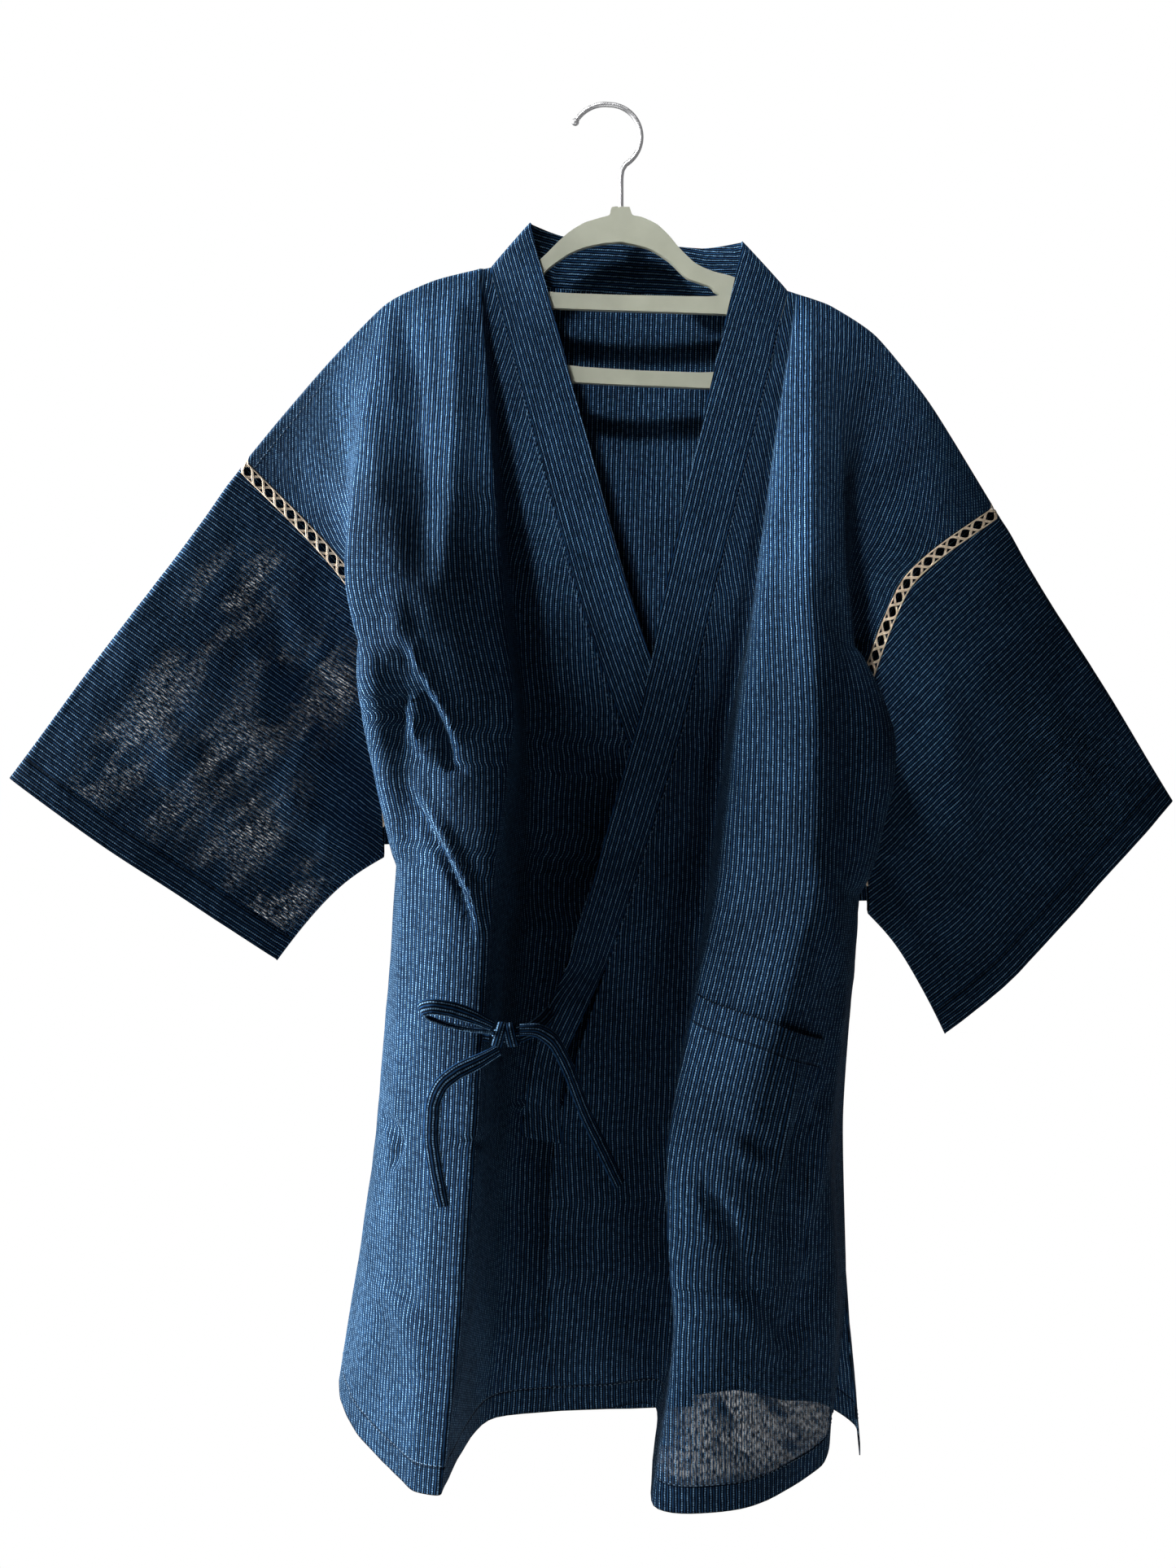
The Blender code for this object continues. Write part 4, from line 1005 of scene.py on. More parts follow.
@lru_cache(maxsize=None)
def wire_material():
    """Bright drawn wire with fine marks in its roughness."""
    material, tree, shader = new_material("hook_wire")
    place = add_node(tree, "ShaderNodeTexCoord").outputs["Object"]
    marks = noise(tree, place, 250.0, 2.0)
    tree.links.new(soft_range(tree, marks, 0.3, 0.7, 0.3, 0.4), shader.inputs["Roughness"])
    shader.inputs["Base Color"].default_value = (0.42, 0.42, 0.43, 1)
    shader.inputs["Metallic"].default_value = 1.0
    return material


def geometry_tree(name, inputs):
    """An empty geometry node tree with its named inputs."""
    tree = bpy.data.node_groups.new(name, "GeometryNodeTree")
    tree.is_modifier = True
    tree.interface.new_socket("Geometry", in_out="INPUT", socket_type="NodeSocketGeometry")
    tree.interface.new_socket("Geometry", in_out="OUTPUT", socket_type="NodeSocketGeometry")
    for title, kind in inputs:
        tree.interface.new_socket(title, in_out="INPUT", socket_type=kind)
    return tree, tree.nodes.new("NodeGroupInput").outputs, tree.nodes.new("NodeGroupOutput").inputs


def end_tree(tree, shapes, given, wanted):
    """Every tree's last nodes: real meshes, shaded smooth, in their material."""
    real = add_node(tree, "GeometryNodeRealizeInstances", feeds={0: shapes})
    round_ = add_node(tree, "GeometryNodeSetShadeSmooth", feeds={0: real.outputs[0]})
    painted = add_node(tree, "GeometryNodeSetMaterial",
                       feeds={"Geometry": round_.outputs[0], "Material": given["Material"]})
    tree.links.new(painted.outputs[0], wanted[0])


@lru_cache(maxsize=None)
def strand_tree():
    """Turns each drawn line into a round strand."""
    tree, given, wanted = geometry_tree("lace_strands", (("Radius", "NodeSocketFloat"),
                                                         ("Sides", "NodeSocketInt"),
                                                         ("Material", "NodeSocketMaterial")))
    line = add_node(tree, "GeometryNodeMeshToCurve", feeds={"Mesh": given["Geometry"]})
    ring = add_node(tree, "GeometryNodeCurvePrimitiveCircle",
                    feeds={"Resolution": given["Sides"], "Radius": given["Radius"]})
    tube = add_node(tree, "GeometryNodeCurveToMesh",
                    feeds={"Curve": line.outputs[0], "Profile Curve": ring.outputs[0], "Fill Caps": True})
    end_tree(tree, tube.outputs[0], given, wanted)
    return tree


@lru_cache(maxsize=None)
def stitch_tree():
    """Sets small stitches end to end along each drawn line."""
    tree, given, wanted = geometry_tree("stitches", (("Spacing", "NodeSocketFloat"),
                                                     ("Length", "NodeSocketFloat"),
                                                     ("Radius", "NodeSocketFloat"),
                                                     ("Material", "NodeSocketMaterial")))
    line = add_node(tree, "GeometryNodeMeshToCurve", feeds={"Mesh": given["Geometry"]})
    places = add_node(tree, "GeometryNodeResampleCurve", mode="LENGTH",
                      feeds={"Curve": line.outputs[0], "Length": given["Spacing"]})
    along = add_node(tree, "GeometryNodeInputTangent")
    turn = add_node(tree, "FunctionNodeAlignRotationToVector", axis="Z",
                    feeds={"Vector": along.outputs[0]})
    bead = add_node(tree, "GeometryNodeMeshUVSphere", feeds={"Segments": 6, "Rings": 4, "Radius": 1.0})
    half = add_node(tree, "ShaderNodeMath", operation="MULTIPLY", feeds={0: given["Length"], 1: 0.5})
    size = add_node(tree, "ShaderNodeCombineXYZ",
                    feeds={0: given["Radius"], 1: given["Radius"], 2: half.outputs[0]})
    laid = add_node(tree, "GeometryNodeInstanceOnPoints",
                    feeds={"Points": places.outputs[0], "Instance": bead.outputs[0],
                           "Rotation": turn.outputs[0], "Scale": size.outputs[0]})
    end_tree(tree, laid.outputs[0], given, wanted)
    return tree


def grow(name, lines, tree, values):
    """Runs a geometry tree on drawn lines of millimetre points and keeps the plain mesh."""
    points = []
    edges = []
    for line in lines:
        first = len(points)
        points.extend([[c * MM for c in p] for p in line])
        edges.extend((first + n, first + n + 1) for n in range(len(line) - 1))
    drawn = bpy.data.meshes.new(name + "_lines")
    drawn.from_pydata(points, edges, [])
    guide = bpy.data.objects.new(name + "_guide", drawn)
    bpy.context.scene.collection.objects.link(guide)
    modifier = guide.modifiers.new("grow", "NODES")
    modifier.node_group = tree
    sockets = {item.name: item.identifier for item in tree.interface.items_tree if item.in_out == "INPUT"}
    for title, value in values.items():
        modifier[sockets[title]] = value
    bpy.context.view_layer.update()
    graph = bpy.context.evaluated_depsgraph_get()
    mesh = bpy.data.meshes.new_from_object(guide.evaluated_get(graph))
    mesh.name = name
    bpy.data.objects.remove(guide)
    thing = bpy.data.objects.new(name, mesh)
    bpy.context.scene.collection.objects.link(thing)
    return thing


def sweep(name, path, width, thickness, facing, material, pinch=None):
    """A flat soft band swept along millimetre points, with its weave running lengthwise."""
    path = np.asarray(path, dtype=float)
    forward = unit(np.gradient(path, axis=0))
    across = [unit(np.cross(forward[0], facing))]
    for direction in forward[1:]:
        across.append(unit(across[-1] - direction * np.dot(across[-1], direction)))
    thick = unit(np.cross(across, forward))
    along = run_lengths(path[:, None], 0)[:, 0]
    pinch = np.ones(len(path)) if pinch is None else pinch
    turns = 2 * math.pi * (np.arange(TIE_SIDES) + 0.5) / TIE_SIDES
    points = []
    for place, w, n, size in zip(path, across, thick, pinch):
        for angle in turns:
            side = np.sign(math.cos(angle)) * abs(math.cos(angle)) ** 0.8
            points.append(place + w * side * width / 2 * size + n * math.sin(angle) * thickness / 2 / size)
    faces = [tuple(range(TIE_SIDES))[::-1], tuple(range(len(points) - TIE_SIDES, len(points)))]
    for i in range(len(path) - 1):
        for k in range(TIE_SIDES):
            a = i * TIE_SIDES + k
            b = i * TIE_SIDES + (k + 1) % TIE_SIDES
            faces.append((a, b, b + TIE_SIDES, a + TIE_SIDES))
    mesh = bpy.data.meshes.new(name)
    mesh.from_pydata([(p * MM).tolist() for p in points], [], faces)
    layer = mesh.uv_layers.new(name="weave")
    for polygon in mesh.polygons:
        for loop in polygon.loop_indices:
            vertex = mesh.loops[loop].vertex_index
            row, k = divmod(vertex, TIE_SIDES)
            layer.data[loop].uv = (math.cos(turns[k]) * width / 2 * MM, along[row] * MM)
    work = bmesh.new()
    work.from_mesh(mesh)
    bmesh.ops.recalc_face_normals(work, faces=work.faces)
    work.to_mesh(mesh)
    work.free()
    mesh.shade_smooth()
    mesh.set_sharp_from_angle(angle=math.radians(70))
    thing = bpy.data.objects.new(name, mesh)
    bpy.context.scene.collection.objects.link(thing)
    thing.data.materials.append(material)
    return thing


def smooth_route(points, step):
    """Points a short step apart along the smooth curve through a route's own points."""
    path = spline(points, 6)
    shares = arc_shares(path)
    length = run_lengths(path[:, None], 0)[-1, 0]
    wanted = np.linspace(0, 1, max(6, int(length / step) + 1))
    return np.array([np.interp(wanted, shares, path[:, k]) for k in range(3)]).T


class ClothSettings(bpy.types.PropertyGroup):
    stripe_pitch: FloatProperty(name="Stripe repeat", description="From one plain line to the next",
                                default=0.0036, unit="LENGTH")
    dot_pitch: FloatProperty(name="Dot repeat", description="From dot to dot along the dotted line",
                             default=0.0015, unit="LENGTH")
    wander: FloatProperty(name="Line wander", description="How far the crinkle pulls the lines aside",
                          default=0.00022, unit="LENGTH")
    hem_depth: FloatProperty(name="Hem depth", description="Height of the doubled cloth at the hems",
                             default=0.017, unit="LENGTH")
    crinkle_depth: FloatProperty(name="Crinkle depth", description="Height of the cloth's crinkles",
                                 default=0.0006, unit="LENGTH")
    openness: FloatProperty(name="Openness", description="Light that the thinnest places let through",
                            default=1.0, min=0, max=1, subtype="FACTOR")
    ground: FloatVectorProperty(name="Ground colour", description="The dark cloth between the lines",
                                subtype="COLOR", default=(0.0009, 0.0020, 0.0046))
    line: FloatVectorProperty(name="Line colour", description="The plain lines", subtype="COLOR",
                              default=(0.0075, 0.030, 0.076))
    dots: FloatVectorProperty(name="Dot colour", description="The pale dotted lines", subtype="COLOR",
                              default=(0.112, 0.216, 0.338))


class LaceSettings(bpy.types.PropertyGroup):
    strand: FloatProperty(name="Strand", description="Radius of one cord of the lace",
                          default=0.0005, unit="LENGTH")
    pitch: FloatProperty(name="Cross repeat", description="From one crossing to the next",
                         default=0.0108, unit="LENGTH")
    colour: FloatVectorProperty(name="Cord colour", description="The cream cord", subtype="COLOR",
                                default=(0.80, 0.67, 0.52))
    shade: FloatVectorProperty(name="Cord shade", description="The cord's darker tone",
                               subtype="COLOR", default=(0.60, 0.48, 0.35))


class TieSettings(bpy.types.PropertyGroup):
    width: FloatProperty(name="Tie width", description="Width of the flat tie", default=0.010,
                         unit="LENGTH")
    thickness: FloatProperty(name="Tie thickness", description="Thickness of the folded tie",
                             default=0.0026, unit="LENGTH")


class HangerSettings(bpy.types.PropertyGroup):
    colour: FloatVectorProperty(name="Plastic colour", description="The hanger's sage green",
                                subtype="COLOR", default=(0.235, 0.245, 0.195))
    shade: FloatVectorProperty(name="Plastic shade", description="Its slightly darker tone",
                               subtype="COLOR", default=(0.205, 0.213, 0.168))
    rounding: FloatProperty(name="Edge rounding", description="Radius of the plate's edges",
                            default=0.0018, unit="LENGTH")


class StageSettings(bpy.types.PropertyGroup):
    key_power: FloatProperty(name="Window light", description="Watts of the large light at the left",
                             default=760.0, min=0)
    fill: FloatProperty(name="Room light", description="Strength of the light from all round",
                        default=0.022, min=0)
    floor_drop: FloatProperty(name="Floor drop", description="How far the floor lies below the hook",
                              default=1.3, unit="LENGTH")


def dress(piece, node, replaced=()):
    """Says whose place a finished piece takes."""
    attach(piece, "root")
    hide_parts(node, *replaced)


class JINBEI_OT_stage(bpy.types.Operator):
    """Add the camera, the window light and the pale floor"""
    bl_idname = "jinbei.stage"
    bl_label = "Stage"

    def execute(self, context):
        settings = context.scene.jinbei_stage
        lens = bpy.data.cameras.new("camera")
        lens.sensor_width = SENSOR
        lens.lens = SENSOR / 2 / (FRAME_HEIGHT / 2 / -EYE[1])
        camera = bpy.data.objects.new("camera", lens)
        camera.location = [c * MM for c in EYE]
        camera.rotation_euler = (math.radians(90), 0, 0)
        context.scene.collection.objects.link(camera)
        context.scene.camera = camera
        for name, place, aim, size, spread, share in (
                ("window", (-3.0, -0.06, 0.3), (0.0, 0.0, -0.5), (0.9, 1.5), 180, 1.0),
                ("upper", (-0.9, -0.8, 0.6), (0.0, 0.0, -0.35), (0.5, 0.5), 180, 0.008),
                ("neck", (-0.2, -0.4, 0.32), (0.035, 0.02, -0.16), (0.36, 0.36), 9, 0.00095)):
            light = bpy.data.lights.new(name, "AREA")
            light.shape = "RECTANGLE"
            light.size, light.size_y = size
            light.spread = math.radians(spread)
            light.energy = settings.key_power * share
            lamp = bpy.data.objects.new(name, light)
            lamp.location = place
            direction = np.array(aim) - np.array(place)
            lamp.rotation_euler = Vector(direction).to_track_quat("-Z", "Y").to_euler()
            context.scene.collection.objects.link(lamp)
        world = bpy.data.worlds.new("room")
        context.scene.world = world
        world.use_nodes = True
        tree = world.node_tree
        sky = tree.nodes["Background"]
        sky.inputs["Color"].default_value = (1, 1, 1, 1)
        rays = add_node(tree, "ShaderNodeLightPath").outputs
        seen = sum_up(tree, "MAXIMUM", rays["Is Camera Ray"],
                      sum_up(tree, "MULTIPLY", rays["Is Glossy Ray"], 0.4))
        tree.links.new(sum_up(tree, "MULTIPLY_ADD", seen, 1.0 - settings.fill, settings.fill),
                       sky.inputs["Strength"])
        mesh = bpy.data.meshes.new("floor")
        work = bmesh.new()
        bmesh.ops.create_circle(work, cap_ends=True, segments=96, radius=0.8)
        bmesh.ops.translate(work, verts=work.verts, vec=(0, -0.45, -settings.floor_drop))
        work.to_mesh(mesh)
        work.free()
        floor = bpy.data.objects.new("floor", mesh)
        context.scene.collection.objects.link(floor)
        material, tree, shader = new_material("pale_floor")
        shader.inputs["Base Color"].default_value = (0.8, 0.8, 0.79, 1)
        shader.inputs["Roughness"].default_value = 0.9
        mesh.materials.append(material)
        context.scene.view_settings.view_transform = "Standard"
        return {"FINISHED"}


class JINBEI_OT_ties(bpy.types.Operator):
    """Make the two ties, their bow and its knot"""
    bl_idname = "jinbei.ties"
    bl_label = "Ties and bow"

    def execute(self, context):
        settings = context.scene.jinbei_ties
        width, thickness = settings.width / MM, settings.thickness / MM
        material = cotton_material("band")
        made = {}
        for run in TIES.values():
            path = smooth_route(run.points, 1.6)
            count = len(path)
            from_ends = np.minimum(np.arange(count), np.arange(count)[::-1])
            pinch = np.ones(count)
            if run.far_end == "bare":
                pinch = 0.72 + 0.28 * smooth(np.arange(count) / 14)
            if run.name == "bow_loop":
                pinch = 0.7 + 0.3 * smooth(from_ends / 14)
            piece = sweep(run.name, path, width, thickness, TIE_FACING, material, pinch)
            dress(piece, run.name)
            made[run.name] = (piece, path * MM)
        knot = self.knot(width, thickness, material)
        dress(knot, "bow_knot")
        pieces_on = {"bow_loop": ["tie_anchor"], "tie_right_tail": ["tie_stub", "bow_knot"],
                     "tie_left_tail": []}
        for name, others in pieces_on.items():
            piece, path = made[name]
            others = [bpy.data.objects[o] for o in others]
        return {"FINISHED"}

    def knot(self, width, thickness, material):
        """The knot: two wraps of the tie drawn tight round a small core."""
        cx, cy, cz = KNOT_CENTRE
        wraps = []
        for index, (shift, lean, grow_by) in enumerate(((-3.6, 0.30, 1.0), (3.2, -0.22, 0.92))):
            turn = np.linspace(0, 2 * math.pi, 49)[:-1]
            y = np.cos(turn) * KNOT_SIZE[1] / 2 * 0.78 * grow_by
            z = np.sin(turn) * KNOT_SIZE[2] / 2 * 0.84 * grow_by
            wraps.append((index, np.stack([cx + shift + lean * z, cy + y, cz + z], axis=1)))
        work = bmesh.new()
        bmesh.ops.create_icosphere(work, subdivisions=3, radius=0.5)
        for vertex in work.verts:
            x, y, z = vertex.co
            vertex.co = ((x * KNOT_SIZE[0] + cx) * MM, (y * KNOT_SIZE[1] * 0.72 + cy) * MM,
                         (z * KNOT_SIZE[2] * 0.72 + cz) * MM)
        layer = work.loops.layers.uv.new("weave")
        for face in work.faces:
            for loop in face.loops:
                loop[layer].uv = (loop.vert.co.z, loop.vert.co.x)
        for index, ring in wraps:
            add_wrap(work, layer, ring, width * 0.72, thickness * 1.3)
        mesh = bpy.data.meshes.new("bow_knot")
        work.to_mesh(mesh)
        work.free()
        mesh.shade_smooth()
        thing = bpy.data.objects.new("bow_knot_wraps", mesh)
        bpy.context.scene.collection.objects.link(thing)
        thing.data.materials.append(material)
        return thing


def add_wrap(work, layer, ring, width, thickness):
    """A closed band round the knot, added to a mesh that is being made."""
    count = len(ring)
    centre = ring.mean(axis=0)
    forward = unit(np.roll(ring, -1, axis=0) - np.roll(ring, 1, axis=0))
    out = unit(ring - centre)
    out = unit(out - forward * np.sum(out * forward, axis=1, keepdims=True))
    side = np.cross(forward, out)
    sides = 12
    rows = []
    for place, n, w in zip(ring, out, side):
        row = []
        for k in range(sides):
            angle = 2 * math.pi * k / sides
            point = place + w * math.cos(angle) * width / 2 + n * math.sin(angle) * thickness / 2
            row.append(work.verts.new((point * MM).tolist()))
        rows.append(row)
    for i in range(count):
        for k in range(sides):
            corners = (rows[i][k], rows[i][(k + 1) % sides],
                       rows[(i + 1) % count][(k + 1) % sides], rows[(i + 1) % count][k])
            face = work.faces.new(corners)
            turns = (k, k + 1, k + 1, k)
            steps = (i, i, i + 1, i + 1)
            for loop, t, s in zip(face.loops, turns, steps):
                loop[layer].uv = (math.cos(2 * math.pi * t / sides) * width / 2 * MM, s * 0.0009)
    bmesh.ops.recalc_face_normals(work, faces=work.faces)


class JINBEI_OT_body(bpy.types.Operator):
    """Make the back and the two fronts"""
    bl_idname = "jinbei.body"
    bl_label = "Back and fronts"

    def execute(self, context):
        for name, grid in body_grids().items():
            u = run_lengths(grid, 0)
            if name == "back":
                u = u - u[6 * BACK_STEPS]
            else:
                u = u - u[STRAIGHT_FOLDS[name] * FRONT_STEPS]
            v = run_lengths(grid, 1)
            from_hem = v[:, -1:] - v
            piece = sheet_object(name, grid, u, from_hem, PANEL_WALL, cotton_material("panel"),
                                 edge=from_hem, sheer=sheerness(name, grid))
            dress(piece, name)
        return {"FINISHED"}


class JINBEI_OT_collar(bpy.types.Operator):
    """Make the collar's three stretches, with the loose tab at its lower end"""
    bl_idname = "jinbei.collar"
    bl_label = "Collar"

    def execute(self, context):
        grids = body_grids()
        bands = (
            ("collar_right", front_collar_grid(COLLAR_RIGHT, grids["front_right"], COLLAR_RIGHT_END),
             (0.046, 0.60, 0.021)),
            ("collar_left", front_collar_grid(COLLAR_LEFT, grids["front_left"], COLLAR_LEFT_END,
                                              (TAB_EDGES, TAB_FREE_EDGES)), (0.042, 0.64, 0.0208)),
            ("collar_back", back_collar_grid(grids["back"]), (0.036, 0.215, 0.0066)),
        )
        for name, grid, (width, length, area) in bands:
            u = run_lengths(grid, 0)
            along_first = name == "collar_back"
            v = run_lengths(grid, 1)
            piece = sheet_object(name, grid, u, v, COLLAR_WALL, cotton_material("band"))
            dress(piece, name)
        return {"FINISHED"}


class JINBEI_OT_sleeves(bpy.types.Operator):
    """Make the two sleeves, whose stripes run round the arm"""
    bl_idname = "jinbei.sleeves"
    bl_label = "Sleeves"

    def execute(self, context):
        for side in SLEEVES:
            grid = sleeve_grid(side)
            along = run_lengths(grid, 1)
            from_cuff = along[:, -1:] - along
            round_arm = run_lengths(grid, 0)
            name = "sleeve_" + side
            piece = sheet_object(name, grid, from_cuff, round_arm, PANEL_WALL, cotton_material("panel"),
                                 ring=True, edge=from_cuff, sheer=sheerness(name, grid))
            dress(piece, name)
        return {"FINISHED"}


class JINBEI_OT_pocket(bpy.types.Operator):
    """Make the patch pocket on the left front"""
    bl_idname = "jinbei.pocket"
    bl_label = "Pocket"

    def execute(self, context):
        front = body_grids()["front_left"]
        grid = pocket_grid(front)
        first = int(round(POCKET_FOLDS[0] * FRONT_STEPS))
        last = int(round(POCKET_FOLDS[1] * FRONT_STEPS))
        across = run_lengths(front, 0)
        across = (across - across[STRAIGHT_FOLDS["front_left"] * FRONT_STEPS])[first:last + 1]
        rows = pocket_rows(len(across))
        u = np.array([np.interp(row, np.arange(across.shape[1]), line) for row, line in zip(rows, across)])
        v = run_lengths(grid, 1)
        piece = sheet_object("pocket", grid, u, v, POCKET_WALL, cotton_material("panel"), edge=v)
        dress(piece, "pocket")
        return {"FINISHED"}


class JINBEI_OT_lace(bpy.types.Operator):
    """Make the crossed cords of the lace between the body and the sleeves"""
    bl_idname = "jinbei.lace"
    bl_label = "Lace"

    def execute(self, context):
        settings = context.scene.jinbei_lace
        for side in SLEEVES:
            for part, (near, far, _, _) in zip(("front", "back"), sleeve_halves(side)):
                name = f"braid_{side}_{part}"
                lines = self.lines(near, far, settings)
                piece = grow(name, lines, strand_tree(), {
                    "Radius": settings.strand, "Sides": 7, "Material": lace_material()})
                dress(piece, name)
            self.backing(side)
        return {"FINISHED"}

    def backing(self, side):
        """The dark cloth that shows between the cords, halfway through the sleeve."""
        (near, far, _, _), (near_back, far_back, _, _) = sleeve_halves(side)
        ends = (near + near_back) / 2, (far + far_back) / 2
        grid = np.stack([ends[0] * (1 - s) + ends[1] * s for s in np.linspace(-0.25, 1.25, 7)])
        grid = grid[:, 4:-2]
        piece = sheet_object("lace_backing_" + side, grid, run_lengths(grid, 0), run_lengths(grid, 1),
                             PANEL_WALL, cotton_material("band"))
        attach(piece, "root")

    def lines(self, near, far, settings):
        """Edge cords, and pairs of cords that cross from edge to edge in each cell."""
        pitch = settings.pitch / MM
        low = -1 if near[-1, 2] < near[0, 2] else 0
        kept = np.abs(near[:, 2] - near[low, 2]) > LACE_TUCK
        near, far = near[kept], far[kept]
        middle = (near + far) / 2
        shares = arc_shares(middle)
        length = run_lengths(middle[:, None], 0)[-1, 0]
        cells = int(round(length / pitch))
        inset = settings.strand / MM * 1.1

        def place(share, across):
            a = np.array([np.interp(share, shares, near[:, k]) for k in range(3)])
            b = np.array([np.interp(share, shares, far[:, k]) for k in range(3)])
            size = np.linalg.norm(b - a)
            across = inset / size + across * (1 - 2 * inset / size)
            return a + (b - a) * across

        lines = []
        for across in (0.0, 1.0):
            lines.append([place(s, across) for s in np.linspace(0, 1, cells * 4 + 1)])
        gap = 0.055 / cells
        out = unit(np.cross(far[0] - near[0], near[-1] - near[0]))
        for cell in range(cells):
            for direction in (1, -1):
                for shift in (-1, 1):
                    line = []
                    for t in np.linspace(0, 1, 9):
                        across = t if direction == 1 else 1 - t
                        share = (cell + t) / cells + shift * gap
                        sway = 0.5 - 0.5 * math.cos(math.pi * across)
                        lift = direction * 0.35 * math.sin(math.pi * t)
                        line.append(place(min(max(share, 0), 1), sway) + out * lift)
                    lines.append(line)
        return lines


class JINBEI_OT_stitching(bpy.types.Operator):
    """Sew the rows of small stitches along the hems and the collar, and one more row across the right front
    near its top
    """
    bl_idname = "jinbei.stitching"
    bl_label = "Stitching"

    def execute(self, context):
        grids = body_grids()
        hem = context.scene.jinbei_cloth.hem_depth / MM
        rows = {}
        for name, outward in (("front_right", -1), ("front_left", -1), ("back", 1)):
            grid = grids[name]
            out = normals(grid)
            if np.sum(out[..., 1]) * outward < 0:
                out = -out
            v = run_lengths(grid, 1)
            from_hem = v[:, -1:] - v
            row = np.abs(from_hem - hem).argmin(axis=1)
            columns = np.arange(len(grid))
            share = row.astype(int)
            line = grid[columns, share] + out[columns, share] * (PANEL_WALL / 2 + 0.05)
            rows[name] = [line]
        front = grids["front_left"]
        out = normals(front)
        out = -out if np.sum(out[..., 1]) > 0 else out
        end = row_of_station(COLLAR_LEFT_END)
        rows["front_left"].append(front[1, 8:end] + out[1, 8:end] * (PANEL_WALL / 2 + 0.05))
        front = grids["front_right"]
        out = normals(front)
        out = -out if np.sum(out[..., 1]) > 0 else out
        end = row_of_station(COLLAR_RIGHT_END)
        rows["front_right"].append(front[1, 8:end] + out[1, 8:end] * (PANEL_WALL / 2 + 0.05))
        first = int(6.2 * FRONT_STEPS)
        rows["front_right"].append(front[first:-1, 9] + out[first:-1, 9] * (PANEL_WALL / 2 + 0.1))
        for name, lines in rows.items():
            piece = grow("stitches_" + name, lines, stitch_tree(), {
                "Spacing": 0.0034, "Length": 0.0019, "Radius": 0.00028, "Material": stitch_material()})
            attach(piece, "root")
        return {"FINISHED"}


class JINBEI_OT_hanger(bpy.types.Operator):
    """Make the moulded hanger with softly rounded edges"""
    bl_idname = "jinbei.hanger"
    bl_label = "Hanger"

    def execute(self, context):
        settings = context.scene.jinbei_hanger
        grids = body_grids()

        def arm(front, ends):
            rest = []
            line = grids["back"][:, 0]
            for x, _, z in front[:, 0]:
                lower = min(z, np.interp(x, line[:, 0], line[:, 2]))
                if ends[0] <= x <= ends[1]:
                    rest.append((x, lower - ARM_CLEARANCE))
            return sorted(rest)[::4]

        outline = [*NECK_OUTLINE_LEFT, *arm(grids["front_left"], ARM_LEFT), *UNDER_OUTLINE,
                   *arm(grids["front_right"], ARM_RIGHT), *reversed(NECK_OUTLINE_RIGHT)]
        work = bmesh.new()
        edges = []
        for loop in (outline, ARCH_WINDOW, BAR_WINDOW):
            fine = spline([*loop, loop[0]], OUTLINE_STEPS)[:-1]
            points = [work.verts.new((x * MM, -HANGER_THICKNESS / 2 * MM, z * MM)) for x, z in fine]
            edges += [work.edges.new((points[i - 1], points[i])) for i in range(len(points))]
        filled = bmesh.ops.triangle_fill(work, edges=edges, use_beauty=True)
        faces = [g for g in filled["geom"] if isinstance(g, bmesh.types.BMFace)]
        made = bmesh.ops.extrude_face_region(work, geom=faces)
        moved = [g for g in made["geom"] if isinstance(g, bmesh.types.BMVert)]
        bmesh.ops.translate(work, verts=moved, vec=(0, HANGER_THICKNESS * MM, 0))
        bmesh.ops.recalc_face_normals(work, faces=work.faces)
        mesh = bpy.data.meshes.new("hanger_plate")
        work.to_mesh(mesh)
        work.free()
        mesh.shade_smooth()
        plate = bpy.data.objects.new("hanger_plate", mesh)
        context.scene.collection.objects.link(plate)
        plate.data.materials.append(plastic_material())
        rounding = plate.modifiers.new("rounding", "BEVEL")
        rounding.width = settings.rounding
        rounding.segments = 4
        rounding.limit_method = "ANGLE"
        rounding.angle_limit = math.radians(60)
        rounding.harden_normals = True
        dress(plate, "hanger")
        return {"FINISHED"}


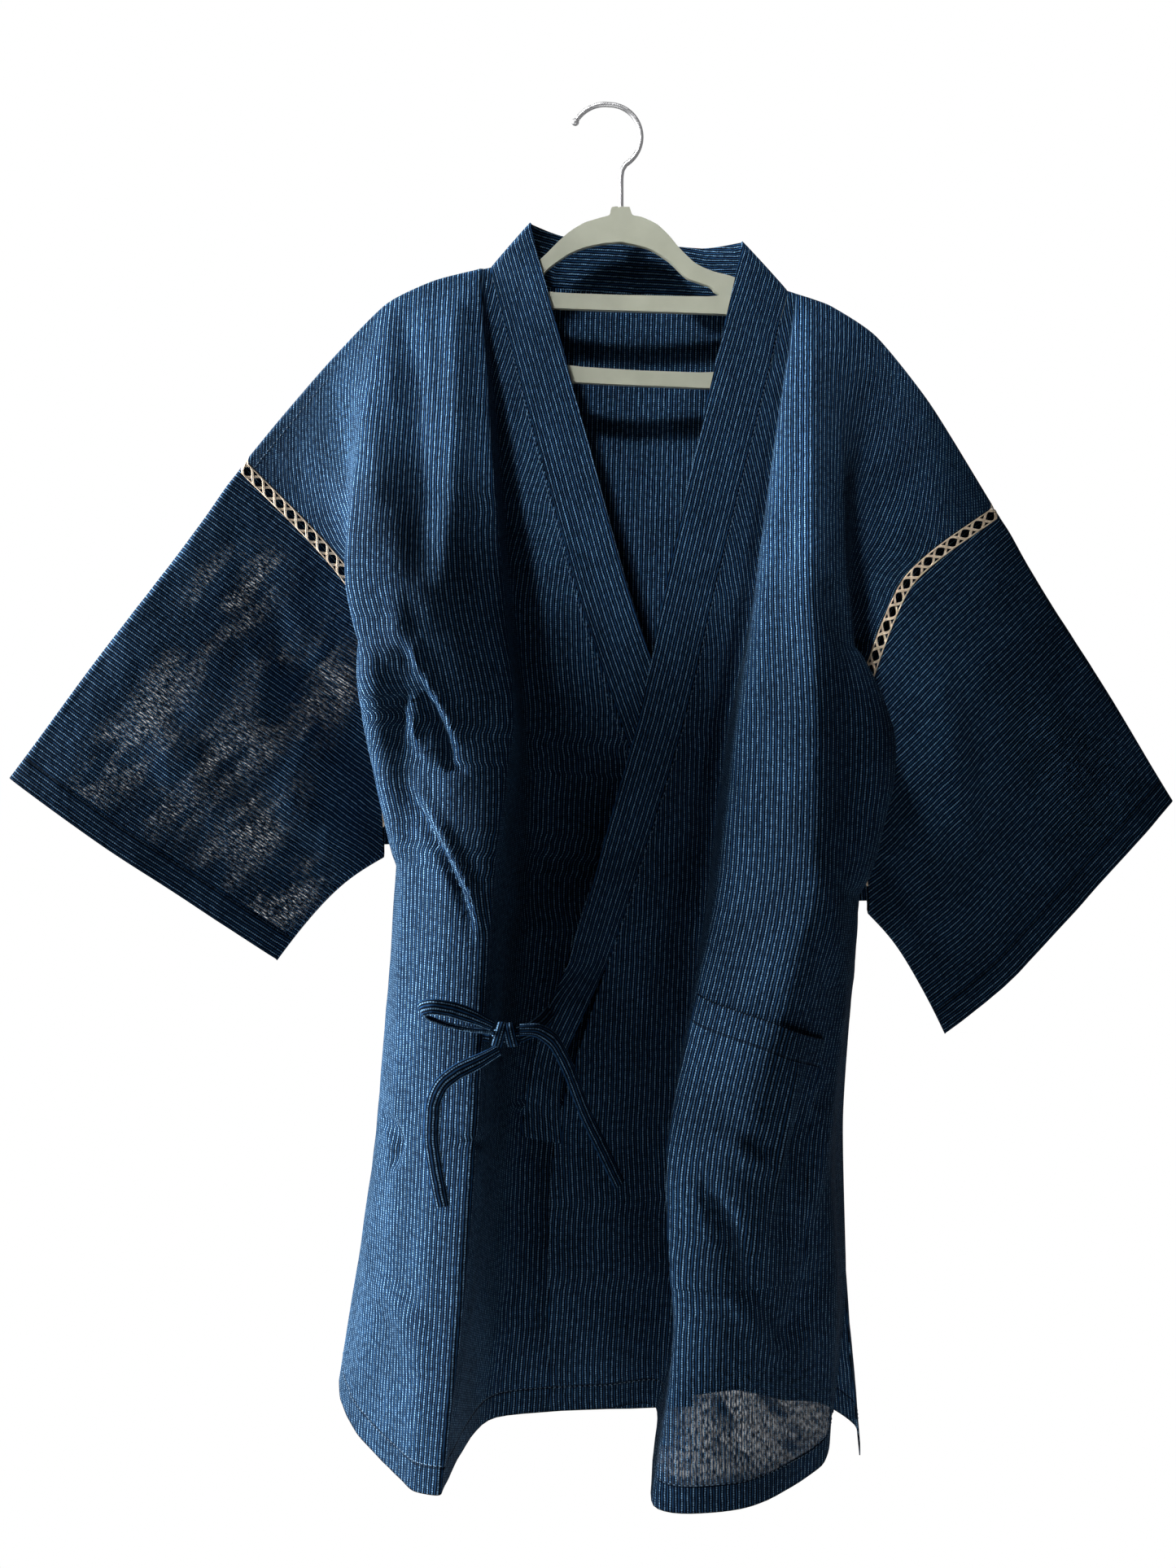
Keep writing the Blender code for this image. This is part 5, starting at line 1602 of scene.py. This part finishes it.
class JINBEI_OT_hook(bpy.types.Operator):
    """Bend the hook's wire, with its ball tip"""
    bl_idname = "jinbei.hook"
    bl_label = "Hook"

    def execute(self, context):
        centre_x, centre_z = HOOK_CENTRE
        route = []
        for angle in np.linspace(HOOK_TIP_ANGLE, HOOK_NECK_ANGLE, HOOK_STEPS + 1):
            past_top = max(0.0, angle - 90) / (HOOK_TIP_ANGLE - 90)
            radius = HOOK_RADIUS + HOOK_OPENING * past_top
            turn = math.radians(angle)
            route.append((centre_x + radius * math.cos(turn), 0.0, centre_z + radius * math.sin(turn)))
        bend = len(route)
        stem = spline([route[-2], route[-1], *[(x, 0.0, z) for x, z in HOOK_STEM]], 6)[7:]
        route = np.array([*route, *stem])
        wire = grow("hook_bend", [route], strand_tree(),
                    {"Radius": WIRE_RADIUS * MM, "Sides": 20, "Material": wire_material()})
        work = bmesh.new()
        work.from_mesh(wire.data)
        ball = bmesh.ops.create_icosphere(work, subdivisions=3, radius=HOOK_TIP_RADIUS * MM)
        bmesh.ops.translate(work, verts=ball["verts"], vec=[c * MM for c in route[0]])
        work.to_mesh(wire.data)
        work.free()
        wire.data.shade_smooth()
        dress(wire, "hook")
        return {"FINISHED"}


OPERATORS = (JINBEI_OT_stage, JINBEI_OT_ties, JINBEI_OT_body, JINBEI_OT_collar, JINBEI_OT_sleeves,
             JINBEI_OT_pocket, JINBEI_OT_lace, JINBEI_OT_stitching, JINBEI_OT_hanger, JINBEI_OT_hook)
SETTINGS = {"jinbei_cloth": ClothSettings, "jinbei_lace": LaceSettings, "jinbei_ties": TieSettings,
            "jinbei_hanger": HangerSettings, "jinbei_stage": StageSettings}


class JINBEI_PT_panel(bpy.types.Panel):
    """The jacket's pieces and their settings"""
    bl_idname = "JINBEI_PT_panel"
    bl_label = "Jinbei jacket"
    bl_space_type = "VIEW_3D"
    bl_region_type = "UI"
    bl_category = "Jinbei"

    def draw(self, context):
        for name, kind in SETTINGS.items():
            box = self.layout.box()
            for title in kind.__annotations__:
                box.prop(getattr(context.scene, name), title)
        for operator in OPERATORS:
            self.layout.operator(operator.bl_idname)


def register():
    for kind in (*SETTINGS.values(), *OPERATORS, JINBEI_PT_panel):
        bpy.utils.register_class(kind)
    for name, kind in SETTINGS.items():
        setattr(bpy.types.Scene, name, PointerProperty(type=kind))


def unregister():
    for name in SETTINGS:
        delattr(bpy.types.Scene, name)
    for kind in (JINBEI_PT_panel, *reversed(OPERATORS), *reversed(SETTINGS.values())):
        bpy.utils.unregister_class(kind)


def main():
    register()
    for operator in OPERATORS:
        group, name = operator.bl_idname.split(".")
        getattr(getattr(bpy.ops, group), name)()


if __name__ == "__main__":
    main()
